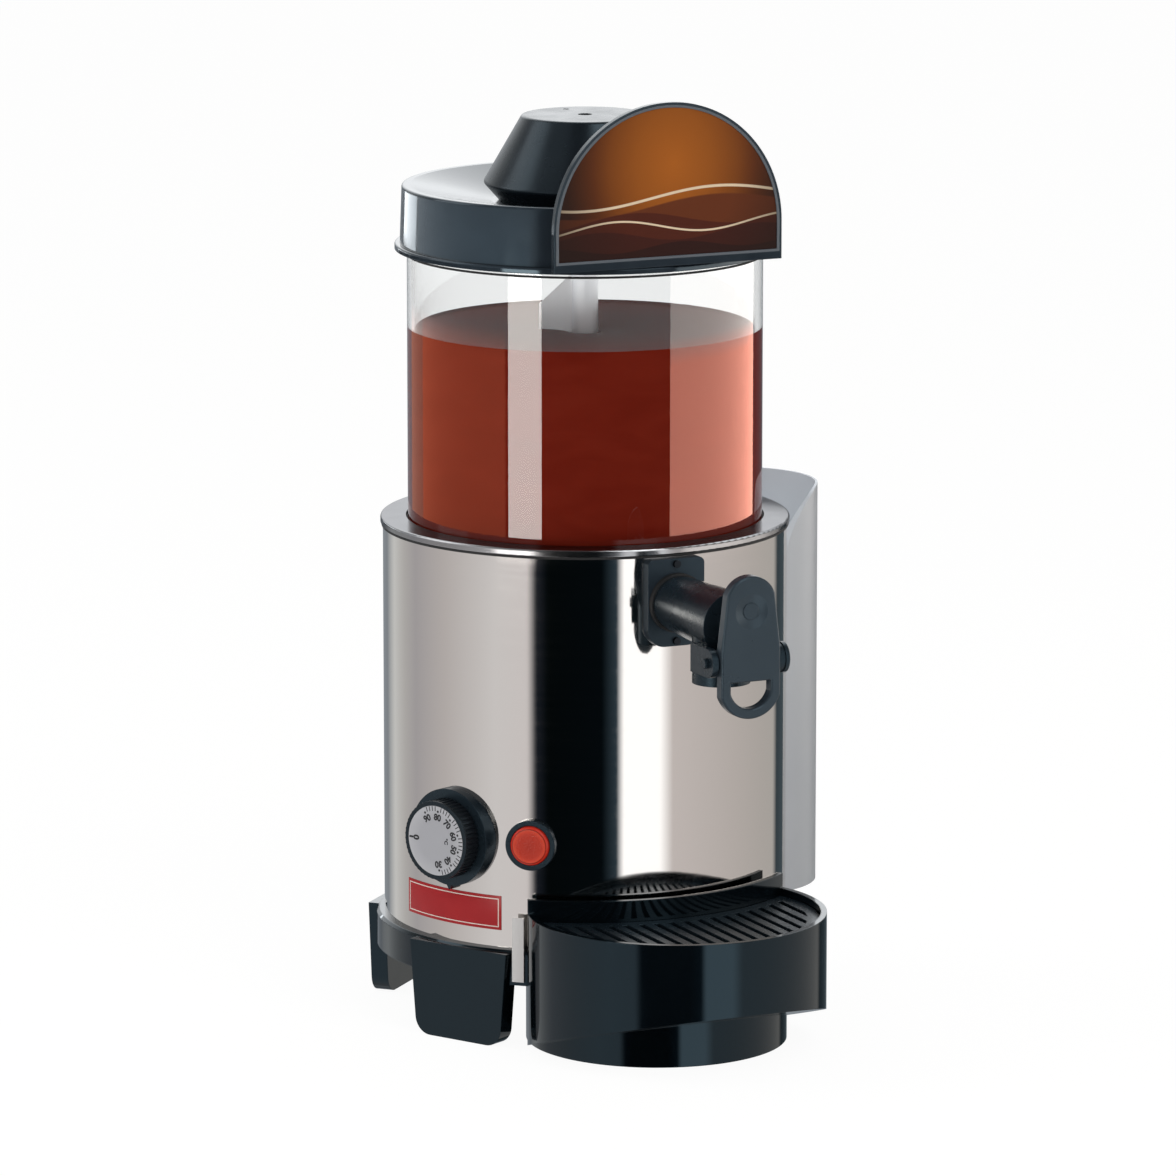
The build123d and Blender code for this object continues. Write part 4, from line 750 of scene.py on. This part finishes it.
spot = node(tree, "ShaderNodeCombineXYZ", {0: u, 1: 0.0, 2: v})
from_glow = calc_vector(tree, "DISTANCE", spot.outputs[0], GLOW_MIDDLE)
print_colour = ramp(tree, from_glow, GLOW)
for *curve, softness, colour in CHOCOLATE_WAVES:
    covered = spread(tree, calc(tree, "SUBTRACT", crest(*curve), v), 0.0, softness)
    print_colour = blended(tree, covered, print_colour, linear(colour))
for *curve, half in CREAM_LINES:
    apart = calc(tree, "ABSOLUTE", calc(tree, "SUBTRACT", crest(*curve), v))
    inked = spread(tree, apart, half, half * LINE_BLUR, 1.0, 0.0)
    print_colour = blended(tree, inked, print_colour, linear("#e9d3b4"))
in_corner = spread(tree, from_glow, CORNERS_FROM, CORNERS_TO, 0.0, CORNERS_SHADE)
print_colour = blended(tree, in_corner, print_colour, linear("#1c0b05"))
wire(tree, surface, {"Base Color": print_colour, "Roughness": 0.45, "IOR": 1.59, "Specular IOR Level": 0.12})
paint(sign_print, "sign_panel")

# %% [markdown]
# ## The silver dial
# The knob's front is a thin aluminium disc, satin and a little paler towards its edge, with its scale
# printed in black. The disc is a CAD solid and only needs its finish: fine turned rings, which a sine of the
# distance from its middle gives.

# %% Finish the dial's disc
dial_out = joint_axis("knob_turn").normalized()
dial_up = Vector((0.0, 0.0, 1.0))
dial_right = dial_up.cross(dial_out)
dial_low, dial_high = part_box("dial_face")
dial_middle = (dial_low + dial_high) / 2
dial_radius = (dial_high.z - dial_low.z) / 2
dial_depth = (dial_high.x - dial_low.x - 2 * dial_radius * abs(dial_out.y)) / abs(dial_out.x)
print("dial radius", round(dial_radius / MM, 2), "mm, disc", round(dial_depth / MM, 2), "mm thick")

silver_dial, tree, surface, place = finish("anodised_aluminium_disc")
from_middle = calc_vector(tree, "LENGTH", calc_vector(tree, "SUBTRACT", place, dial_middle))
# Turning lines are about 0.1 mm apart and are drawn 0.5 mm apart, as fine as the picture can show.
lines = calc(tree, "SINE", calc(tree, "MULTIPLY", from_middle, 2 * math.pi * per_mm(0.5)))
to_edge = spread(tree, from_middle, dial_radius * 0.6, dial_radius)
wire(tree, surface, {
    "Base Color": blended(tree, to_edge, linear("#b4b6bc"), linear("#c3c5ca")),
    "Metallic": 0.45,
    "Roughness": spread(tree, lines, -1.0, 1.0, 0.36, 0.46),
})
paint(silver_dial, "dial_face")

# %% [markdown]
# ## The dial's print
# A thermostat dial carries plain numbers from 0 to 90, a dot beside each and fine marks between them, all
# screen-printed in black. They could be drawn by a texture, but ink that is a real, very thin layer keeps
# crisp edges at any distance. Each mark is made flat at the origin, then pressed onto the dial: moved out
# to its radius, turned so that its top faces outwards, and carried to the knob's face by one matrix. The
# scale turns anticlockwise as it climbs, 33 degrees for every 10 degrees of heat, and stays with the knob.

# %% Press a mark onto the dial
INK = 0.03 * MM
INK_LIFT = 0.005 * MM


def press(mark, radius_mm, angle):
    """Carries a flat mark to a radius and angle on the dial's face, and puts its place in its mesh."""
    spin = math.radians(angle)
    face = Matrix((dial_right, dial_up, dial_out)).transposed().to_4x4()
    face.translation = dial_middle + dial_out * (dial_depth / 2 + INK_LIFT)
    spot = Matrix.Translation((radius_mm * MM * math.cos(spin), radius_mm * MM * math.sin(spin), 0.0))
    mark.matrix_world = face @ spot @ Matrix.Rotation(spin + math.radians(-90.0), 4, "Z")
    bpy.ops.object.select_all(action="DESELECT")
    mark.select_set(True)
    bpy.context.view_layer.objects.active = mark
    bpy.ops.object.transform_apply(location=True, rotation=True, scale=True)
    return mark


def again(piece):
    """A copy of a piece with its own mesh."""
    copy = piece.copy()
    copy.data = piece.data.copy()
    bpy.context.scene.collection.objects.link(copy)
    return copy


# %% Print the numbers
HEATS = list(range(30, 100, 10))
FIRST_ANGLE, ANGLE_PER_HEAT, ZERO_ANGLE = 279.0, 3.3, 180.0
# How tall a figure is as a share of its font's size, and how much its strokes are thickened as a share of that
FIGURE_SHARE, STROKE_SHARE = 0.7, 0.07


def heat_angle(heat):
    """Where a heat lies on the dial, in degrees anticlockwise from its right."""
    return FIRST_ANGLE + ANGLE_PER_HEAT * (heat - HEATS[0])


def letters(words, tall_mm):
    """A word in ink, flat and made into a mesh, with figures of a given height."""
    bpy.ops.object.select_all(action="DESELECT")
    bpy.ops.object.text_add(location=(0.0, 0.0, 0.0))
    word = bpy.context.object
    word.data.body = words
    word.data.size = tall_mm * MM / FIGURE_SHARE
    word.data.offset = STROKE_SHARE * tall_mm * MM
    word.data.align_x = "CENTER"
    word.data.align_y = "CENTER"
    word.data.extrude = INK / 2
    word.data.resolution_u = 4
    bpy.ops.object.convert(target="MESH")
    return bpy.context.object


# (word, height and radius in mm, angle)
DIAL_WORDS = [(str(heat), 3.1, 11.6, heat_angle(heat)) for heat in HEATS]
DIAL_WORDS += [("0", 3.4, 12.2, ZERO_ANGLE), ("\u00b0C", 2.0, 6.6, 4.0)]
dial_marks = [press(letters(word, tall), radius, angle) for word, tall, radius, angle in DIAL_WORDS]
print("printed the numbers", HEATS, "and 0")

# %% Print the dots and the fine marks
DOT_RADIUS, TICK_WIDE, TICK_LONG = 0.62 * MM, 0.5 * MM, 2.4 * MM
# Where the dots, the fine marks and the mark at zero lie, in mm from the dial's middle
DOTS_AT, TICKS_AT, ZERO_AT = 14.7, 15.9, 15.6


def soften():
    """Rounds the edges of the active mark, as the edges of ink are."""
    bpy.ops.object.mode_set(mode="EDIT")
    bpy.ops.mesh.select_all(action="SELECT")
    bpy.ops.mesh.bevel(offset=0.008 * MM, segments=2, affect="EDGES")
    bpy.ops.object.mode_set(mode="OBJECT")


bpy.ops.object.select_all(action="DESELECT")
bpy.ops.mesh.primitive_cylinder_add(vertices=20, radius=DOT_RADIUS, depth=INK)
dot = bpy.context.object
soften()

bpy.ops.object.select_all(action="DESELECT")
bpy.ops.mesh.primitive_cube_add(size=1.0)
tick = bpy.context.object
tick.scale = (TICK_WIDE, TICK_LONG, INK)
bpy.ops.object.transform_apply(location=False, rotation=False, scale=True)
soften()

for heat in HEATS:
    dial_marks.append(press(again(dot), DOTS_AT, heat_angle(heat)))
    if heat < HEATS[-1]:
        dial_marks += [press(again(tick), TICKS_AT, heat_angle(heat + part)) for part in (2, 4, 6, 8)]
# The mark at zero is three fine marks side by side.
dial_marks += [press(again(tick), ZERO_AT, ZERO_ANGLE + aside) for aside in (0.0, 0.9, -0.9)]
for pattern in (dot, tick):
    bpy.data.objects.remove(pattern)
print(len(dial_marks), "marks on the dial")

# %% Join the print and give it its ink
bpy.ops.object.select_all(action="DESELECT")
for mark in dial_marks:
    mark.select_set(True)
bpy.context.view_layer.objects.active = dial_marks[0]
bpy.ops.object.join()
dial_print = bpy.context.object
dial_print.name = "dial_print"
black_ink, tree, surface, place = finish("screen_print_ink")
# Ink lies a little unevenly, in patches of about 1 mm.
patches = noise(tree, place, per_mm(1.0), detail=2.0)
tint = blended(tree, patches, linear("#15161a"), linear("#25272c"))
wire(tree, surface, {"Base Color": tint, "Roughness": 0.5, "IOR": 1.5})
dial_print.data.materials.clear()
dial_print.data.materials.append(black_ink)
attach(dial_print, "knob")
print("dial print has", len(dial_print.data.polygons), "faces")

# %% [markdown]
# ## The knob's rim
# Round the dial the knob ends in a narrow, smooth rim into which its knurls run out. On the real knob it is
# one moulding with the rest. Here a short open cylinder gets its thickness and its rounded edges from
# modifiers, after the dial's own matrix has carried it to the knob's front. It only fills the gaps between
# the knurls.

# %% Turn the knob's rim
RIM_CORNERS, RIM_DEEP = 120, 1.5 * MM
# How far the rim stays inside the knurls and behind the knob's front, and how deep that front is
RIM_INSIDE, RIM_BEHIND, FRONT_DEEP = 0.03 * MM, 0.02 * MM, 5.0 * MM
knob_spots = [corner.co - dial_middle for corner in nodes["knob"].data.vertices]
knob_front = max(spot.dot(dial_out) for spot in knob_spots)
front_spots = [spot for spot in knob_spots if spot.dot(dial_out) > knob_front - FRONT_DEEP]
knob_reach = max(spot.cross(dial_out).length for spot in front_spots)
print("the knob's front is", round(knob_front / MM, 2), "mm before the dial's middle")
print("and reaches out", round(knob_reach / MM, 2), "mm")
rim_middle = Vector((0.0, 0.0, knob_front - RIM_BEHIND - RIM_DEEP / 2 - dial_depth / 2))
knob_rim = hoop("knob_rim", RIM_CORNERS, knob_reach - RIM_INSIDE, RIM_DEEP, rim_middle)
press(knob_rim, 0.0, 90.0)
thicken(knob_rim, thickness_mm=0.8, side=-1.0, edge_mm=0.2, smooth=40.0)
knob_rim.data.materials.append(knob_black)
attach(knob_rim, "knob")

# %% [markdown]
# ## The tap's spring
# Behind the lever a coil of spring wire pushes the plunger's button out, and so keeps the tap shut. A real
# one is wound cold on a mandrel. The CAD solid of it is hidden and a coil takes its place: a ring of wire
# that a Screw modifier winds round the plunger's axis, with both cut ends closed.

# %% Wind the spring
SPRING_TURNS = 6
WIRE_RADIUS = 0.6 * MM
WIRE_CORNERS, TURN_STEPS = 14, 36
spring_low, spring_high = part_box("tap_spring")
spring_middle = (spring_low + spring_high) / 2
spring_long = spring_high.y - spring_low.y
coil_radius = (spring_high.x - spring_low.x) / 2 - WIRE_RADIUS
bpy.ops.object.select_all(action="DESELECT")
bpy.ops.mesh.primitive_circle_add(
    vertices=WIRE_CORNERS,
    radius=WIRE_RADIUS,
    location=(coil_radius, 0.0, 0.0),
    rotation=(math.pi / 2, 0.0, 0.0),
)
coil = bpy.context.object
coil.name = "tap_coil"
bpy.ops.object.transform_apply(location=True, rotation=True, scale=True)
winding = coil.modifiers.new("winding", "SCREW")
winding.axis = "Z"
winding.angle = 2 * math.pi
winding.iterations = SPRING_TURNS
winding.screw_offset = (spring_long - 2 * WIRE_RADIUS) / SPRING_TURNS
winding.steps = TURN_STEPS
winding.render_steps = TURN_STEPS
bpy.ops.object.modifier_apply(modifier="winding")
bpy.ops.object.mode_set(mode="EDIT")
bpy.ops.mesh.select_all(action="SELECT")
bpy.ops.mesh.fill_holes(sides=0)
bpy.ops.mesh.select_all(action="SELECT")
bpy.ops.mesh.normals_make_consistent(inside=False)
bpy.ops.object.mode_set(mode="OBJECT")

# %% Set the spring in its seat
coil.rotation_euler = (math.pi / 2, 0.0, 0.0)
coil.location = (spring_middle.x, spring_high.y - WIRE_RADIUS, spring_middle.z)
bpy.ops.object.transform_apply(location=True, rotation=True, scale=True)
bpy.ops.object.shade_smooth_by_angle(angle=math.radians(45.0))
coil.data.materials.append(satin_steel)
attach(coil, "dispenser")
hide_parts("tap_spring")
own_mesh(coil)
print("spring of", SPRING_TURNS, "turns,", round(spring_long / MM, 1), "mm long")

# %% [markdown]
# ## The drink
# Hot chocolate stands in the tank to about two thirds of its height. The tank's hollow could be filled by a
# Boolean, but a disc shaped by insets gives clean rings instead: a thin edge that climbs the wall, as any
# liquid does, a level middle, and a shallow dip round the stirrer's tube. Under the surface the drink is
# hollow, so that the stirrer keeps its room to turn; nobody can look in, because chocolate is opaque.

# %% Pour the drink
TANK_WALL = 3.5 * MM
# The drink reaches a little into the wall, so that no air shows between them, and stays off the floor.
WALL_OVERLAP, FLOOR_GAP = 0.1 * MM, 0.3 * MM
EDGE_CLIMB = 1.3 * MM
DRINK_THICKNESS = 9.0 * MM
STIRRER_ROOM = 79.0 * MM
# (ring's width, drop at its inner edge) in mm, from the wall inwards
DRINK_RINGS = [(0.35, 0.6), (0.6, 0.4), (1.2, 0.25), (2.5, 0.05)]
DRINK_RINGS += [(47.0, 0.1), (16.0, 0.5), (6.0, 0.7), (2.6, 0.5)]
tank_low, tank_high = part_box("tank")
tank_radius = (tank_high.x - tank_low.x) / 2
drink_radius = tank_radius - TANK_WALL + WALL_OVERLAP
drink_level = 340.0 * MM
drink_floor = tank_low.z + TANK_WALL + FLOOR_GAP
drink_ceiling = drink_level - DRINK_THICKNESS

bpy.ops.object.select_all(action="DESELECT")
bpy.ops.mesh.primitive_circle_add(
    vertices=144,
    radius=drink_radius,
    fill_type="NGON",
    location=AXIS + Vector((0.0, 0.0, drink_level + EDGE_CLIMB)),
)
drink = bpy.context.object
drink.name = "hot_chocolate"
bpy.ops.object.transform_apply(location=True, rotation=True, scale=True)
bpy.ops.object.mode_set(mode="EDIT")
bpy.ops.mesh.select_all(action="SELECT")
for width, drop in DRINK_RINGS:
    bpy.ops.mesh.inset(thickness=width * MM)
    bpy.ops.transform.translate(value=(0.0, 0.0, -drop * MM))
tube_room = min((corner.co - AXIS).to_2d().length for corner in bmesh.from_edit_mesh(drink.data).verts)
print("surface rings end at radius", round(tube_room / MM, 2), "mm")

# %% Hollow the drink underneath
UNDERSIDE = drink_level - 5.0 * MM
sleeve_drop = drink_ceiling - drink_level + sum(drop for _, drop in DRINK_RINGS) * MM - EDGE_CLIMB
bpy.ops.mesh.extrude_region_move(TRANSFORM_OT_translate={"value": (0.0, 0.0, sleeve_drop)})
bpy.ops.mesh.delete(type="ONLY_FACE")


def extend_underside(grow, fall):
    """Extrudes the open edges of the drink's underside, then widens or lowers what is new."""
    choose("EDGE", lambda middle, part: part.is_boundary and middle.z < UNDERSIDE)
    bpy.ops.mesh.extrude_edges_move(TRANSFORM_OT_translate={"value": (0.0, 0.0, fall)})
    if grow != 1.0:
        bpy.ops.transform.resize(value=(grow, grow, 1.0), center_override=AXIS)


extend_underside(STIRRER_ROOM / tube_room, 0.0)
extend_underside(1.0, drink_floor - drink_ceiling)
extend_underside(drink_radius / STIRRER_ROOM, 0.0)
choose("EDGE", lambda middle, part: part.is_boundary)
bpy.ops.mesh.bridge_edge_loops()
bpy.ops.mesh.select_all(action="SELECT")
bpy.ops.mesh.normals_make_consistent(inside=False)
bpy.ops.object.mode_set(mode="OBJECT")
bpy.ops.object.shade_smooth_by_angle(angle=math.radians(35.0))
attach(drink, "dispenser")
print("drink up to", round(max(corner.co.z for corner in drink.data.vertices) / MM, 1), "mm")

# %% Colour the drink
chocolate, tree, surface, place = finish("hot_chocolate")
# Slow swirls, about 45 mm wide and 15 mm tall, where richer and milkier drink have not quite mixed.
swirl_scale = (per_mm(45), per_mm(45), per_mm(15))
swirl_place = node(tree, "ShaderNodeMapping", {"Vector": place, "Scale": swirl_scale}).outputs[0]
swirls = noise(tree, swirl_place, 1.0, detail=3.0, distortion=0.8)
richness = spread(tree, swirls, NOISE_LOW, NOISE_HIGH)
wire(tree, surface, {
    "Base Color": blended(tree, richness, linear("#6b1c10"), linear("#752316")),
    "Roughness": 0.45,
    "IOR": 1.35,
    "Specular IOR Level": 0.008,
    "Subsurface Weight": 0.12,
    "Subsurface Radius": (0.004, 0.0014, 0.0008),
})
drink.data.materials.append(chocolate)

# %% [markdown]
# ## The seat ring
# Just under the lid a thin dark ring goes round the tank: the bead that the lid's flange comes down to. A
# short open cylinder becomes the ring when a Solidify modifier gives it its thickness and a Bevel rounds it.

# %% Make the seat ring
RING_CORNERS = 160
RING_TALL, RING_BELOW_LID, RING_OFF_TANK = 1.1 * MM, 2.2 * MM, 0.05 * MM
ring_middle = AXIS + Vector((0.0, 0.0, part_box("lid_shell")[0].z - RING_BELOW_LID))
seat_ring = hoop("lid_seat_ring", RING_CORNERS, tank_radius + RING_OFF_TANK, RING_TALL, ring_middle)
thicken(seat_ring, thickness_mm=0.55, side=1.0, edge_mm=0.2, smooth=40.0)
seat_ring.data.materials.append(black_rubber)
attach(seat_ring, "dispenser")
print("seat ring at", round(seat_ring.data.vertices[0].co.z / MM, 1), "mm")

# %% [markdown]
# ## The label
# Below the knob a red vinyl label is stuck to the jacket. It stays blank here, apart from a thin pale line
# just inside its edge. It follows the jacket: all but 36 degrees of an open cylinder is deleted, a Solidify
# modifier gives the strip the thickness of vinyl, and a Bevel takes the sharpness off its edges.

# %% Stick on the label
LABEL_FROM, LABEL_TO = -85.0, -49.0
LABEL_LOW, LABEL_HIGH = 57.0 * MM, 74.0 * MM
LABEL_CORNERS, LABEL_GLUE = 360, 0.04 * MM
jacket_low, jacket_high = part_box("body_shell")
jacket_radius = (jacket_high.x - jacket_low.x) / 2
label_middle = AXIS + Vector((0.0, 0.0, (LABEL_LOW + LABEL_HIGH) / 2))
label_tall = LABEL_HIGH - LABEL_LOW
label = hoop("blank_label", LABEL_CORNERS, jacket_radius + LABEL_GLUE, label_tall, label_middle)
keep_arc(LABEL_FROM, LABEL_TO)
thicken(label, thickness_mm=0.18, side=1.0, edge_mm=0.06, smooth=30.0)
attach(label, "dispenser")
print("label spans", LABEL_TO - LABEL_FROM, "degrees of the jacket")

# %% Colour the label
# The pale line's distance from the edge, and half its thickness, in mm
LINE_INSET, LINE_HALF = 1.6, 0.25
label_turn = math.radians((LABEL_FROM + LABEL_TO) / 2)
half_long = math.radians(LABEL_TO - LABEL_FROM) / 2 * jacket_radius / MM
half_tall = label_tall / 2 / MM
middle_mm = (LABEL_LOW + LABEL_HIGH) / 2 / MM

red_vinyl, tree, surface, place = finish("red_vinyl_film")
spot = calc_vector(tree, "SUBTRACT", place, AXIS)
# Distances from the label's middle, then from its nearest edge, in mm.
along = calc(tree, "SUBTRACT", compass_of(tree, spot), label_turn)
along_mm = calc(tree, "MULTIPLY", along, jacket_radius / MM)
up_mm = calc(tree, "MULTIPLY_ADD", rise_of(tree, spot), 1.0 / MM, -middle_mm)
side_gap = calc(tree, "SUBTRACT", half_long, calc(tree, "ABSOLUTE", along_mm))
top_gap = calc(tree, "SUBTRACT", half_tall, calc(tree, "ABSOLUTE", up_mm))
to_edge = calc(tree, "MINIMUM", side_gap, top_gap)
on_line = calc(tree, "COMPARE", to_edge, LINE_INSET, LINE_HALF)
# Vinyl fades unevenly, in patches of about 12 mm.
patches = noise(tree, place, per_mm(12), detail=2.0)
red = blended(tree, patches, linear("#a3161c"), linear("#b21f24"))
tint = blended(tree, on_line, red, linear("#e9dcd4"))
wire(tree, surface, {"Base Color": tint, "Roughness": 0.32, "Specular IOR Level": 0.3})
label.data.materials.append(red_vinyl)
